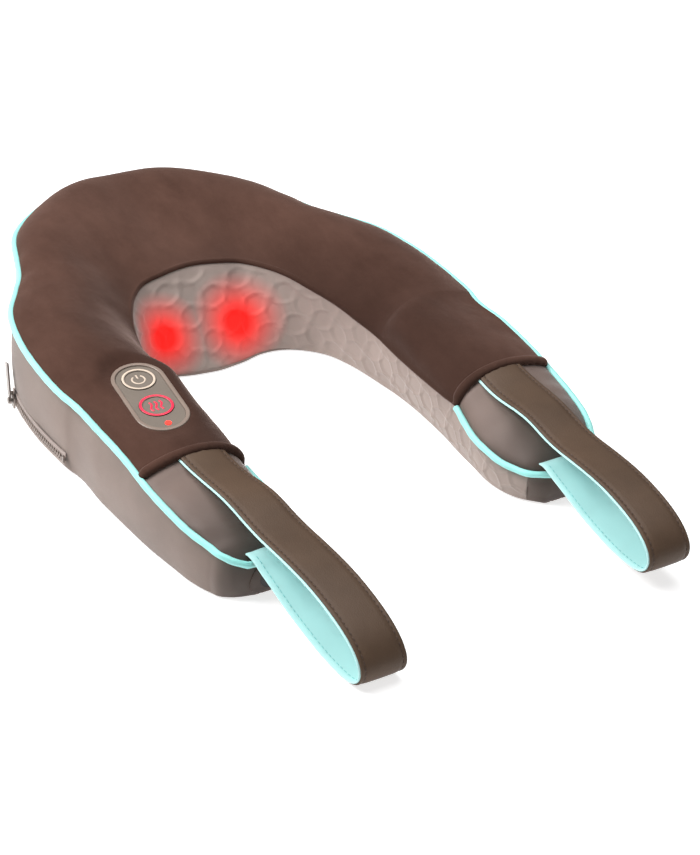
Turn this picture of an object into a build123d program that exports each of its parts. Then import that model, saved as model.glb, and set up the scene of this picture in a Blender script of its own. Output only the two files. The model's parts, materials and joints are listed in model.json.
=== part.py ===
from build123d import *
from math import atan2, cos, degrees, pi, radians, sin
import os

# Shiatsu neck massager: a padded U that lies round the neck, with two kneading heads in the
# back of the U, a key pad on the left arm and a pull strap on the end of each arm.
# Millimetres, +Z up, underside at Z = 0, X = 0 is the plane of symmetry, and the arms point
# to -Y. Left means -X.

os.makedirs("parts", exist_ok=True)

# ---------------------------------------------------------------- driving dimensions
NECK_Y = 17.1               # the arcs of the back are drawn about (0, NECK_Y)
ARM_STEP = 90.0             # one unit of station past the back, along an arm
END_STATION = 3.01          # last station, at the arm's end
HEM_STATION = 2.08          # where the top cover ends in a rolled hem
BACK_STATION = 1.25         # where the back foam meets the arm foams

SKIN = 1.6                  # every sewn skin
FOAM_GAP = 2.3              # from the outer surface to the foam
BULGE = 3.0                 # how far the side and neck walls swell at mid height
SEAM = 3.2                  # seam allowance between two skins at an edge
PIPING_R = 2.3
PIPING_OUT = 2.5            # middle of the piping, outwards of the seam and below it
PIPING_DROP = 1.0
HEM_R = 3.6

# Outline of the body, by station: 0 at the middle of the back, 1 where the back becomes an
# arm, more along the arm. Distances are from the arcs' centre, or from X = 0 on the arms.
OUTER_EDGE = (              # station, distance, height
    (0, 258, 64), (0.1, 252.5, 69), (0.2, 239, 72), (0.3, 223, 73.5), (0.38, 204, 73), (0.44, 193, 72),
    (0.52, 187, 71.5), (0.62, 184.5, 70), (0.73, 177.5, 67.5), (0.86, 170, 64.5), (1, 165.5, 62),
    (1.5, 164, 60), (1.9, 163, 56), (2.17, 162.5, 51), (2.45, 160.5, 46.5),
    (2.7, 156.5, 41.8), (2.85, 151, 38), (2.95, 146, 34.3), (2.99, 140, 31), (3.01, 134, 28.5))
INNER_EDGE = (              # station, distance, height
    (0, 124.5, 64.5), (0.13, 124.6, 63), (0.21, 126.5, 60.5), (0.29, 122, 59), (0.4, 113, 57),
    (0.49, 106, 54), (0.65, 97.4, 50), (0.8, 92.5, 46), (0.93, 92, 43), (1.17, 91, 41),
    (1.5, 89, 41), (1.9, 88, 41), (2.1, 88.7, 40), (2.26, 86.3, 36), (2.41, 84.8, 32),
    (2.6, 85.5, 29), (2.71, 87.5, 27), (2.82, 91.6, 26), (2.94, 99, 25.5), (3.01, 109, 26))
INNER_FOOT = (              # station, distance
    (0, 72), (0.1, 74), (0.2, 79), (0.29, 87.7), (0.4, 95.7), (0.52, 99.5), (0.64, 100), (0.72, 98),
    (0.9, 95), (1.12, 97), (1.4, 98), (1.65, 97), (1.9, 95), (2.12, 92), (2.36, 90),
    (2.58, 88), (2.75, 90), (2.88, 95), (3.01, 106))
OUTER_INSET = (             # station, how far the foot lies inside the edge
    (0, 6), (0.3, 4), (0.62, 2), (0.73, 2), (0.86, 3), (1, 3), (1.5, 1.5), (1.9, 1), (2.17, 1.4),
    (2.45, 2), (2.7, 1), (2.85, 0), (2.95, 1), (2.99, 3), (3.01, 5))
CROWN = (                   # station, rise, outer fullness, inner fullness
    (0, 21.5, 0.5, 1.6), (0.3, 15, 0.8, 1.5), (0.6, 14, 0.85, 1), (0.9, 17, 0.9, 0.6),
    (1.1, 22, 1.1, 0.3), (1.6, 19, 1.1, 0.3), (1.9, 17, 0.9, 0.38), (2.17, 14.5, 0.85, 0.5),
    (2.7, 12, 0.7, 0.6), (2.9, 7, 0.7, 0.6), (3.01, 1, 0.7, 0.7))

# Pull straps. Their Y, like every Y below, is measured from the arcs' centre.
STRAP_W = 34.0
STRAP_LEATHER = 1.6
STRAP_LINING = 1.2
STRAP_HEM_X = 121.0
STRAP_TIP_X = {"left": 108.0, "right": 116.0}
STRAP_LIFT = {"left": 0.0, "right": 12.0}       # how far the tip of the loop stands up
STRAP_HEM_Y = -94.0          # where the strap comes out from under the hem
STRAP_START_Y = -101.4
STRAP_BASE_END_Y = -180.0
STRAP_TIP_Y = -300.0
STRAP_PIVOT = (-181.6, 51.0)                    # Y, Z of the line where the loop flexes
STRAP_UPPER = ((-183.2, 51.2), (-215, 50), (-245, 46), (-272, 38), (-290, 28.5))
STRAP_NOSE = ((-299, 17.5), (-297, 7.6), (-287, 3.6))
STRAP_LOWER = ((-262, 6), (-230, 14.5), (-206, 23.6), (-195, 27.6))
STRAP_TAIL = ((-180.4, 32.4), (-185, 31.8), (-189.5, 30.2), (-192.8, 28.6))

# Zipper, along the foot of the left side
ZIP_Z = 12.0
ZIP_STATIONS = (0.66, 0.83, 1.0)                # its back end, middle and front end
ZIP_PITCH = 2.8
TAPE_H = 4.0
TAPE_T = 0.8
SLIDER_L = 10.0
PULL_L = 27.0
PULL_RISE = 70.0            # how far the resting pull points above the chain, degrees

# Key pad on the left arm
PAD_STATION = -1.37
PAD_SHARE = 0.57
PAD_L = 78.0
PAD_W = 37.5
PAD_LIFT = -0.6
PAD_TURN = 9.0              # outwards from the run of the arm, degrees
PAD_RIM = 3.0
KEY_X = {"power_button": -20.5, "heat_button": 10.8}
KEY_R = 11.6
KEY_TRAVEL = 0.8
KEY_GAP = 0.25
LAMP_X = 31.0

# Power jack in the end of the left arm
JACK_X = -117.0
JACK_Z = 13.0
JACK_BORE_R = 2.8
JACK_BODY_R = 5.2
JACK_L = 13.0
JACK_PIN_R = 1.0

# Massage mechanism, in a frame that lies in the neck wall: X across, V up the wall and N
# out of the wall towards the neck
HEAD_X = 30.0
HEAD_V = 12.0
HEAD_REACH = 16.5           # from a head's axis to the middle of each node
NODE_R = 9.0
NODE_TOP = -4.6
NODE_H = 8.4
PLATE_T = 3.4
WHEEL_N = -24.6             # middle of the worm wheels
WHEEL_T = 6.0
WHEEL_TEETH = 38
TOOTH_PLAY = 0.3
TOOTH_SLIM = 1.8            # narrows the teeth's tips
WHEEL_R = 19.0
WORM_R = 5.0
THREAD = 1.0                # half of the thread's depth
LEAD = pi                   # one tooth of the wheels, at module 1
WORM_L = 20.0
SHELL_T = 2.0
SHELL_FRONT = -19.0
SHELL_REAR = -30.0
HUMP_FRONT = -17.0          # the worm's hump is flat here, clear of the head arms
SHELL_R = 23.2
SHELL_HALF_X = 47.0
SHAFT_R = 4.0
SHAFT_BORE_R = 2.1
RUNNING = 0.05
MOTOR_R = 12.0
MOTOR_X = (56.0, 94.0)      # can, measured to the left
MOTOR_SHAFT_R = 1.5

SIDES = {"left": -1, "right": 1}


# ---------------------------------------------------------------- the body's surface
def column(table, station, k):
    """Smooth value of column k at a station, level at the middle of the back."""
    s = min(max(abs(station), table[0][0]), table[-1][0])
    last = len(table) - 1
    i = max([j for j in range(last) if table[j][0] <= s], default=0)

    def chord(j):
        return (table[j + 1][k] - table[j][k]) / (table[j + 1][0] - table[j][0])

    def slope(j):
        if j == 0:
            return 0.0
        if j == last:
            return chord(last - 1)
        before = table[j][0] - table[j - 1][0]
        after = table[j + 1][0] - table[j][0]
        return (chord(j - 1) * after + chord(j) * before) / (before + after)

    width = table[i + 1][0] - table[i][0]
    t = (s - table[i][0]) / width
    start, end = table[i][k], table[i + 1][k]
    return (start * (1 + 2 * t) * (1 - t) ** 2 + slope(i) * width * t * (1 - t) ** 2
            + end * t * t * (3 - 2 * t) + slope(i + 1) * width * t * t * (t - 1))


def place(station, r, z):
    """A point of a station's upright plane, as a point of the model."""
    side = -1 if station < 0 else 1
    s = abs(station)
    if s <= 1:
        return Vector(side * r * sin(s * pi / 2), NECK_Y + r * cos(s * pi / 2), z)
    return Vector(side * r, NECK_Y - (s - 1) * ARM_STEP, z)


def crown(station, share):
    """Distance and height on the top cover, from the outer edge (0) to the inner edge (1)."""
    r0, z0 = column(OUTER_EDGE, station, 1), column(OUTER_EDGE, station, 2)
    r1, z1 = column(INNER_EDGE, station, 1), column(INNER_EDGE, station, 2)
    rise, outer, inner = (column(CROWN, station, k) for k in (1, 2, 3))
    lift = 0.0
    if 0 < share < 1:
        peak = outer / (outer + inner)
        lift = rise * (share / peak) ** outer * ((1 - share) / (1 - peak)) ** inner
    return r0 + (r1 - r0) * share, z0 + (z1 - z0) * share + lift


def top_line(station, pieces=10, start=0.0, end=1.0):
    shares = [start + (end - start) * (1 - cos(pi * k / pieces)) / 2 for k in range(pieces + 1)]
    return [crown(station, u) for u in shares]


def wall_line(foot, edge, swell, bottom, trim, pieces=5):
    """From the foot of a wall up to its edge, swelling at mid height."""
    top = edge[1] - trim
    line = []
    for k in range(pieces + 1):
        z = bottom + (top - bottom) * k / pieces
        t = z / edge[1]
        line.append((foot + (edge[0] - foot) * t + swell * sin(pi * t), z))
    return line


def side_line(station, bottom=SKIN + 0.2, trim=SEAM):
    edge = column(OUTER_EDGE, station, 1), column(OUTER_EDGE, station, 2)
    return wall_line(edge[0] - column(OUTER_INSET, station, 1), edge, BULGE, bottom, trim)


def neck_line(station, bottom=SKIN + 0.2, trim=SEAM):
    edge = column(INNER_EDGE, station, 1), column(INNER_EDGE, station, 2)
    return wall_line(column(INNER_FOOT, station, 1), edge, -BULGE, bottom, trim)


def shifted(line, distance):
    """The line moved to its right by a distance, with mitred corners."""
    result = []
    for k, (x, y) in enumerate(line):
        before = line[max(k - 1, 0)]
        after = line[min(k + 1, len(line) - 1)]
        a = Vector(x - before[0], y - before[1]) if k else Vector(after[0] - x, after[1] - y)
        b = Vector(after[0] - x, after[1] - y) if k < len(line) - 1 else a
        a, b = a.normalized(), b.normalized()
        normal = (Vector(a.Y, -a.X) + Vector(b.Y, -b.X)).normalized()
        scale = distance / max(normal.dot(Vector(a.Y, -a.X)), 0.4)
        result.append((x + normal.X * scale, y + normal.Y * scale))
    return result


def stations(start, end, step=0.1):
    count = max(2, round((end - start) / step))
    return [start + (end - start) * k / count for k in range(count + 1)]


def arm_stations(start):
    """Along an arm to its end, closer together round the end's corners."""
    return stations(start, 2.8, 0.11) + [2.88, 2.94, 2.98, END_STATION]


def body_stations(limit=END_STATION):
    if limit < END_STATION:
        half = stations(0, 1.0, 0.07) + stations(1.0, limit, 0.11)[1:]
    else:
        half = stations(0, 1.0, 0.07) + arm_stations(1.0)[1:]
    return [-s for s in reversed(half[1:])] + half


def lofted(section_of, where):
    """A solid through one closed outline per station."""
    wires = []
    for s in where:
        wires.append(Wire.make_polygon([place(s, r, z) for r, z in section_of(s)], close=True))
    solid = Solid.make_loft(wires, ruled=True)
    return solid if solid.volume > 0 else Solid(solid.wrapped.Reversed())


def skin(line_of, where):
    """A sewn skin: each station's outer line, thickened inwards."""
    def outline(s):
        line = line_of(s)
        return line + list(reversed(shifted(line, -SKIN)))
    return lofted(outline, where)


def tube(points, radius, sides=8):
    """A round bar of flat facets along points, closed at both ends."""
    wires = []
    for k, point in enumerate(points):
        along = points[min(k + 1, len(points) - 1)] - points[max(k - 1, 0)]
        across = along.cross(Vector(0, 0, 1)).normalized()
        up = across.cross(along).normalized()
        ring = [point + across * (radius * cos(2 * pi * n / sides)) + up * (radius * sin(2 * pi * n / sides))
                for n in range(sides)]
        wires.append(Wire.make_polygon(ring, close=True))
    return Solid.make_loft(wires, ruled=True)


def keep(shape, node):
    """Writes one node, every solid of it apart from the others."""
    solids = shape if isinstance(shape, list) else [shape]
    flat = []
    for item in solids:
        flat += list(item.solids())
    export_step(flat[0] if len(flat) == 1 else Compound(children=flat), f"parts/{node}.step")


# ---------------------------------------------------------------- soft body
def foam_outline(station):
    """The closed section of the foam, a small gap inside the skins."""
    side = shifted(side_line(station, FOAM_GAP, 2.2 * FOAM_GAP), -FOAM_GAP)
    top = shifted(top_line(station, 8, 0.04, 0.96), -FOAM_GAP)
    neck = shifted(list(reversed(neck_line(station, FOAM_GAP, 2.2 * FOAM_GAP))), -FOAM_GAP)
    return [(r, max(z, FOAM_GAP)) for r, z in side + top + neck]


def at(x, y, z):
    """A point whose Y is measured from the arcs' centre."""
    return Vector(x, NECK_Y + y, z)


END_Y = -(END_STATION - 1) * ARM_STEP


def make_skins():
    """Top cover, side band, neck panel, bottom panel and the two end caps."""
    gap = 0.05
    keep(skin(top_line, body_stations(HEM_STATION - gap)) - pad_prism(PAD_L + 0.6, PAD_W + 0.6, -9, 9), "top_cover")
    for side, sign in SIDES.items():
        where = [s * sign for s in arm_stations(HEM_STATION + gap)]
        cap = skin(top_line, where if sign > 0 else list(reversed(where)))
        keep(cap, f"{side}_end_cap")
        ridge = [place(sign * HEM_STATION, r, z)
                 for r, z in shifted(top_line(HEM_STATION, 10, 0.02, 0.98), 1.5)]
        keep(tube(ridge, HEM_R), f"{side}_hem")
    neck = skin(lambda s: list(reversed(neck_line(s, 2 * SKIN))), body_stations())
    keep(neck, "neck_panel")
    band = skin(side_line, body_stations())
    for sign in SIDES.values():
        outline = side_line(END_STATION) + list(reversed(neck_line(END_STATION)))
        face = Face(Wire.make_polygon([place(sign * END_STATION, r, z) for r, z in outline], close=True))
        band = band + Solid.extrude(face, Vector(0, -SKIN, 0))
    keep(band - jack_rod(JACK_BODY_R + 0.3, -20, 20), "side_band")
    outer = [place(s, column(OUTER_EDGE, s, 1) - column(OUTER_INSET, s, 1), 0) for s in body_stations()]
    inner = [place(s, column(INNER_FOOT, s, 1), 0) for s in reversed(body_stations())]
    outer = [outer[0] - Vector(0, SKIN, 0)] + outer + [outer[-1] - Vector(0, SKIN, 0)]
    inner = [inner[0] - Vector(0, SKIN, 0)] + inner + [inner[-1] - Vector(0, SKIN, 0)]
    base = Face(Wire.make_polygon(outer + inner, close=True))
    keep(Solid.extrude(base, Vector(0, 0, SKIN)), "bottom_panel")


def make_piping():
    """One run of piping from the left hem's inner end round to the right hem's."""
    half = [(s, INNER_EDGE) for s in arm_stations(HEM_STATION + 0.06)]
    half += [(s, OUTER_EDGE) for s in reversed(arm_stations(1.0))]
    half += [(s, OUTER_EDGE) for s in reversed(stations(0, 1.0, 0.07)[:-1])]
    seam = [place(-s, column(table, s, 1), column(table, s, 2)) for s, table in half[:-1]]
    seam += [place(s, column(table, s, 1), column(table, s, 2)) for s, table in reversed(half)]
    points = []
    for k, spot in enumerate(seam):
        along = seam[min(k + 1, len(seam) - 1)] - seam[max(k - 1, 0)]
        out = Vector(-along.Y, along.X, 0).normalized() * PIPING_OUT
        points.append(spot + out - Vector(0, 0, PIPING_DROP))
    keep(tube(points, PIPING_R), "piping")


def make_foam():
    back = lofted(foam_outline, [s for s in body_stations(BACK_STATION)])
    back = back - mechanism_space() - lead_space() - pad_prism(75, 34, -14, 20)
    keep(back, "back_foam")
    for side, sign in SIDES.items():
        where = [sign * s for s in arm_stations(BACK_STATION + 0.02)[:-1]]
        arm = lofted(foam_outline, where if sign > 0 else list(reversed(where)))
        if sign < 0:
            arm = arm - pad_prism(75, 34, -14, 20) - lead_space() - jack_rod(JACK_BODY_R + 1, -4, 22)
        keep(arm, f"{side}_arm_foam")


# ---------------------------------------------------------------- straps
def smooth(points, pieces=5):
    """Points along a smooth curve that passes through the given ones."""
    spots = []
    for k in range(len(points) - 1):
        before, a, b, after = points[max(k - 1, 0)], points[k], points[k + 1], points[min(k + 2, len(points) - 1)]
        for n in range(pieces):
            t = n / pieces
            spots.append(tuple(
                0.5 * (2 * a[i] + (b[i] - before[i]) * t
                       + (2 * before[i] - 5 * a[i] + 4 * b[i] - after[i]) * t * t
                       + (3 * a[i] - before[i] - 3 * b[i] + after[i]) * t ** 3) for i in (0, 1)))
    return spots + [points[-1]]


def cap_top(x, y):
    """Height of the end cap under a point of the strap."""
    s = 1 - y / ARM_STEP
    r0, r1 = column(OUTER_EDGE, s, 1), column(INNER_EDGE, s, 1)
    return crown(s, min(max((r0 - x) / (r0 - r1), 0), 1))[1]


def strap_x(side, y):
    share = (STRAP_HEM_Y - y) / (STRAP_HEM_Y - STRAP_TIP_Y)
    return STRAP_HEM_X + (STRAP_TIP_X[side] - STRAP_HEM_X) * share


def strap_band(side, path, inside, outside):
    """A band of the strap: its path in Y and Z, thickened between two offsets."""
    sign = SIDES[side]
    outline = shifted(path, outside) + list(reversed(shifted(path, inside)))
    edge = [at(sign * strap_x(side, y) - STRAP_W / 2, y, z) for y, z in outline]
    return Solid.extrude(Face(Wire.make_polygon(edge, close=True)), Vector(STRAP_W, 0, 0))


def lifted(side, points):
    rise = STRAP_LIFT[side] / (STRAP_PIVOT[0] - STRAP_TIP_Y)
    return [(y, z + rise * max(STRAP_PIVOT[0] - 4 - y, 0)) for y, z in points]


def make_straps():
    """Leather outside and lining inside, sewn over the cap and looped past the arm's end."""
    bands = {"": (0.0, STRAP_LEATHER), "_lining": (-STRAP_LINING, -0.02)}
    for side in SIDES:
        over_cap = []
        for k in range(12):
            y = STRAP_START_Y + (STRAP_BASE_END_Y - STRAP_START_Y) * k / 11
            crest = max(cap_top(strap_x(side, y) + d, y) for d in (-17, -9, 0, 9, 17))
            run_off = STRAP_PIVOT[1] + (STRAP_BASE_END_Y - y) * -0.06
            over_cap.append((y, max(crest + STRAP_LINING + 0.8, run_off if y < -150 else 0)))
        loop = smooth(lifted(side, STRAP_UPPER + STRAP_NOSE + STRAP_LOWER))
        for suffix, (inside, outside) in bands.items():
            base = strap_band(side, over_cap, inside, outside)
            tail = strap_band(side, list(reversed(STRAP_TAIL)), inside, outside)
            keep([base, tail], f"{side}_strap_base{suffix}")
            keep(strap_band(side, loop, inside, outside), f"{side}_strap_loop{suffix}")


# ---------------------------------------------------------------- key pad
def pad_plane():
    """Key pad frame: X forward along the arm, Y across it, Z out of the cover."""
    def spot(s, u):
        return place(s, *crown(s, u))
    origin = spot(PAD_STATION, PAD_SHARE)
    along = (spot(PAD_STATION - 0.3, PAD_SHARE) - spot(PAD_STATION + 0.3, PAD_SHARE)).normalized()
    across = (spot(PAD_STATION, PAD_SHARE + 0.15) - spot(PAD_STATION, PAD_SHARE - 0.15)).normalized()
    out = along.cross(across)
    out = out if out.Z > 0 else out * -1
    return Plane(origin=origin, x_dir=along.rotate(Axis((0, 0, 0), out), -PAD_TURN), z_dir=out)


def stadium(length, width, low, high):
    """An upright block with round ends, from one height to another."""
    outline = SlotOverall(length, width)
    return extrude(Plane.XY.offset(low) * outline, high - low)


def pad_prism(length, width, low, high):
    return pad_plane().location * stadium(length, width, low, high)


def disc(x, y, low, high, radius):
    return Pos(x, y, (low + high) / 2) * Cylinder(radius, high - low)


def make_key_pad():
    plane = pad_plane().location
    top = PAD_LIFT + 2.6
    bezel = stadium(PAD_L, PAD_W, PAD_LIFT, top) - stadium(PAD_L - 2 * PAD_RIM, PAD_W - 2 * PAD_RIM, -9, 9)
    bezel = fillet(bezel.edges().group_by(Axis.Z)[-1], 0.8)
    keep(plane * bezel, "control_bezel")
    plate = stadium(PAD_L - 2 * PAD_RIM - 0.3, PAD_W - 2 * PAD_RIM - 0.3, PAD_LIFT, PAD_LIFT + 1.6)
    for x in KEY_X.values():
        plate -= disc(x, 0, -9, 9, KEY_R + KEY_GAP)
    plate -= disc(LAMP_X, 0, -9, 9, 2.3)
    keep(plane * plate, "key_plate")
    for node, x in KEY_X.items():
        key = disc(x, 0, PAD_LIFT - 0.6, PAD_LIFT + 2.2, KEY_R) - disc(x, 0, PAD_LIFT + 1.7, 9, KEY_R - 2.2)
        key += disc(x, 0, -1.6, PAD_LIFT - 0.6, 2.5)
        keep(plane * key, node)
    keep(plane * disc(LAMP_X, 0, -1.0, PAD_LIFT + 2.0, 2.2), "lamp_lens")
    board = stadium(66, 26, -8.6, -7.0)
    keep(plane * board, "control_board")
    switches = []
    for x in KEY_X.values():
        switches.append(plane * (Pos(x, 0, -5.5) * Box(6, 6, 3) + disc(x, 0, -4.0, -2.7, 1.6)))
    keep(switches, "key_switches")
    keep(plane * disc(LAMP_X, 0, -7.0, -1.2, 1.8), "status_led")
    tray = stadium(71.4, 30.9, -11.5, PAD_LIFT - 0.1) - stadium(68.4, 27.9, -10.0, 9)
    for x in (-20, 20):
        tray += disc(x, 8, -10.1, -8.6, 2.0) + disc(x, -8, -10.1, -8.6, 2.0)
    keep(plane * tray, "control_housing")


# ---------------------------------------------------------------- jack and leads
def jack_rod(radius, low, high):
    """A cylinder on the jack's axis, from low to high inwards of the arm's end."""
    start = at(JACK_X, END_Y + low, JACK_Z)
    return Solid.make_cylinder(radius, high - low, Plane(origin=start, z_dir=(0, 1, 0)))


def make_jack():
    body = jack_rod(JACK_BODY_R, -SKIN, JACK_L) - jack_rod(JACK_BORE_R, -9, JACK_L - 2.5)
    keep(body, "dc_jack")
    keep(jack_rod(JACK_PIN_R, 1.0, JACK_L - 2.5), "jack_pin")
    ring = jack_rod(JACK_BODY_R + 2.2, -SKIN - 1.2, -SKIN - 0.05) - jack_rod(JACK_BORE_R + 0.6, -9, 9)
    keep(ring, "jack_bezel")


LEAD_R = 1.8


def lead_routes():
    """Leads held inside the foam: keypad to motor, and jack to keypad."""
    plane = pad_plane()
    back_end = plane.from_local_coords((-37.8, 0, -8))
    front_end = plane.from_local_coords((37.8, 0, -8))
    motor_end = mech_plane().from_local_coords((-MOTOR_X[1] - 6.0, WORM_V, WHEEL_N))
    return {
        "motor_lead": [back_end, at(-126, 62, 44), at(-119, 104, 40), motor_end],
        "jack_lead": [at(JACK_X, END_Y + JACK_L + 0.3, JACK_Z), at(-118, -140, 15), at(-125, -105, 26),
                      at(-122, -72, 40), front_end]}


def lead(points, radius):
    legs = [(b - a).length for a, b in zip(points, points[1:])]
    radii = []
    for k in range(1, len(points) - 1):
        turn = radians((points[k] - points[k - 1]).get_angle(points[k + 1] - points[k]))
        radii.append(0.42 * min(legs[k - 1], legs[k]) / max(abs(tan_half(turn)), 0.05))
    path = FilletPolyline(*points, radius=radii)
    start = Plane(origin=points[0], z_dir=points[1] - points[0])
    return sweep(start * Circle(radius), path=path)


def tan_half(angle):
    return sin(angle / 2) / cos(angle / 2)


def lead_space():
    return [lead(points, LEAD_R + 0.8) for points in lead_routes().values()]


def make_leads():
    for node, points in lead_routes().items():
        keep(lead(points, LEAD_R), node)


# ---------------------------------------------------------------- zipper
def zip_points():
    """Where the zipper's chain crosses the side, at its back end, middle and front end."""
    spots = []
    for s in ZIP_STATIONS:
        line = side_line(s, 0.0, 0.0)
        k = max(i for i in range(len(line) - 1) if line[i][1] <= ZIP_Z)
        t = (ZIP_Z - line[k][1]) / (line[k + 1][1] - line[k][1])
        spots.append(place(-s, line[k][0] + (line[k + 1][0] - line[k][0]) * t + 0.6, 0))
    return spots


def zip_circle():
    """Centre, radius and end angles of the arc that the chain follows."""
    a, b, c = zip_points()
    d = 2 * (a.X * (b.Y - c.Y) + b.X * (c.Y - a.Y) + c.X * (a.Y - b.Y))
    aa, bb, cc = (p.X ** 2 + p.Y ** 2 for p in (a, b, c))
    centre = Vector((aa * (b.Y - c.Y) + bb * (c.Y - a.Y) + cc * (a.Y - b.Y)) / d,
                    (aa * (c.X - b.X) + bb * (a.X - c.X) + cc * (b.X - a.X)) / d, 0)
    angles = [degrees(atan2(p.Y - centre.Y, p.X - centre.X)) for p in (a, c)]
    return centre, (a - centre).length, angles[0], angles[1] if angles[1] > 0 else angles[1] + 360


def zip_block(angle, arc, r0, r1, z0, z1):
    """A block on the chain's arc: middle angle, length along the arc, radii and heights."""
    centre, radius = zip_circle()[:2]
    block = Pos((r0 + r1) / 2, 0, (z0 + z1) / 2) * Box(r1 - r0, arc, z1 - z0)
    return Pos(centre.X, centre.Y, 0) * Rot(0, 0, angle) * block


def zip_strip(r0, r1, z0, z1):
    """A strip that follows the whole chain, between two radii and two heights."""
    centre, radius, start, end = zip_circle()
    face = Pos((r0 + r1) / 2, 0, (z0 + z1) / 2) * Rot(90, 0, 0) * Rectangle(r1 - r0, z1 - z0)
    return Pos(centre.X, centre.Y, 0) * revolve(Rot(0, 0, start) * face, Axis.Z, end - start)


def pull_plane(angle, r):
    """Frame of the pull on the slider's post: X along the resting pull, Z out of the side."""
    centre = zip_circle()[0]
    out = Vector(cos(radians(angle)), sin(radians(angle)), 0)
    back = Vector(out.Y, -out.X, 0)
    along = back * cos(radians(PULL_RISE)) + Vector(0, 0, sin(radians(PULL_RISE)))
    return Plane(origin=Vector(centre.X, centre.Y, ZIP_Z) + out * r, x_dir=along, z_dir=out)


def make_zipper():
    centre, radius, start, end = zip_circle()
    tape = radius + 0.7
    front = tape + TAPE_T + 0.03
    upper = zip_strip(tape, tape + TAPE_T, ZIP_Z + 1.0, ZIP_Z + 1.0 + TAPE_H)
    lower = zip_strip(tape, tape + TAPE_T, ZIP_Z - 1.0 - TAPE_H, ZIP_Z - 1.0)
    keep([upper, lower], "zipper_tapes")
    step = degrees(ZIP_PITCH / radius)
    teeth = []
    for k in range(int((end - start) / step) - 2):
        angle = start + step * (k + 1.5)
        teeth.append(zip_block(angle, 1.2, front, front + 1.0, ZIP_Z - 0.4, ZIP_Z + 2.2))
        teeth.append(zip_block(angle + step / 2, 1.2, front, front + 1.0, ZIP_Z - 2.2, ZIP_Z + 0.4))
    keep(teeth, "zipper_teeth")
    stops = [zip_block(angle, 2.0, front, front + 1.6, ZIP_Z - 2.4, ZIP_Z + 2.4)
             for angle in (start + step * 0.4, end - step * 0.4)]
    keep(stops, "zipper_stops")
    home = start + degrees((SLIDER_L / 2 + 3.5) / radius)
    face = front + 1.3
    slider = zip_block(home, SLIDER_L, face, face + 1.4, ZIP_Z - 4.2, ZIP_Z + 4.2)
    seat = pull_plane(home, face)
    slider += seat.location * (disc(0, 0, 1.3, 3.9, 1.2) + disc(0, 0, 3.6, 4.4, 2.3))
    keep(slider, "zipper_slider")
    pull = Pos((PULL_L + 4.0) / 2, 0, 2.8) * Box(PULL_L - 4.0, 6.4, 1.2)
    pull += Pos(3.0, 0, 2.8) * Box(6.0, 3.2, 1.2)
    pull += disc(0, 0, 2.2, 3.4, 2.6)
    keep(seat.location * (pull - disc(0, 0, 0, 9, 1.26)), "zipper_pull")


# ---------------------------------------------------------------- massage mechanism
WALL_TOP = (INNER_EDGE[0][1], INNER_EDGE[0][2])
WALL_FOOT = INNER_FOOT[0][1]
WORM_V = HEAD_V + WHEEL_R + WORM_R
PLATE_LOW = NODE_TOP - NODE_H - PLATE_T


def mech_plane():
    """The neck wall's own frame, at the middle of the wall."""
    tilt = atan2(WALL_TOP[1], WALL_TOP[0] - WALL_FOOT)
    middle = at(0, (WALL_TOP[0] + WALL_FOOT) / 2, WALL_TOP[1] / 2)
    return Plane(origin=middle, x_dir=(1, 0, 0), z_dir=(0, -sin(tilt), cos(tilt)))


def rod_x(radius, x0, x1, v=WORM_V, n=WHEEL_N):
    """A cylinder along X, between two distances from the middle."""
    return Pos((x0 + x1) / 2, v, n) * Rot(0, 90, 0) * Cylinder(radius, x1 - x0)


def mechanism_space():
    plane = mech_plane().location
    spaces = [extrude(Plane.XY.offset(SHELL_REAR - 0.5) * shell_outline(-0.6), -17.3 + 0.5 - SHELL_REAR)]
    spaces += [disc(x, v, SHELL_REAR - 2.4, -17.3, 4.2) for x, v in SCREWS]
    spaces.append(rod_x(9.0, -SHELL_HALF_X - 0.6, SHELL_HALF_X + 0.6))
    spaces += [disc(sign * HEAD_X, HEAD_V, -18.5, 12, 27.5) for sign in SIDES.values()]
    spaces.append(rod_x(MOTOR_R + 2.6, -MOTOR_X[1] - 7, -45))
    return [plane * space for space in spaces]


def shell_outline(inset):
    outline = Rectangle(2 * (SHELL_HALF_X - inset), WORM_V + 8.4 - HEAD_V - inset, align=(Align.CENTER, Align.MIN))
    outline = Pos(0, HEAD_V) * outline
    for sign in SIDES.values():
        outline += Pos(sign * HEAD_X, HEAD_V) * Circle(SHELL_R - inset)
    return outline


SCREWS = ((0.0, 17.0), (-53.2, 3.6), (53.2, 3.6))


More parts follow.
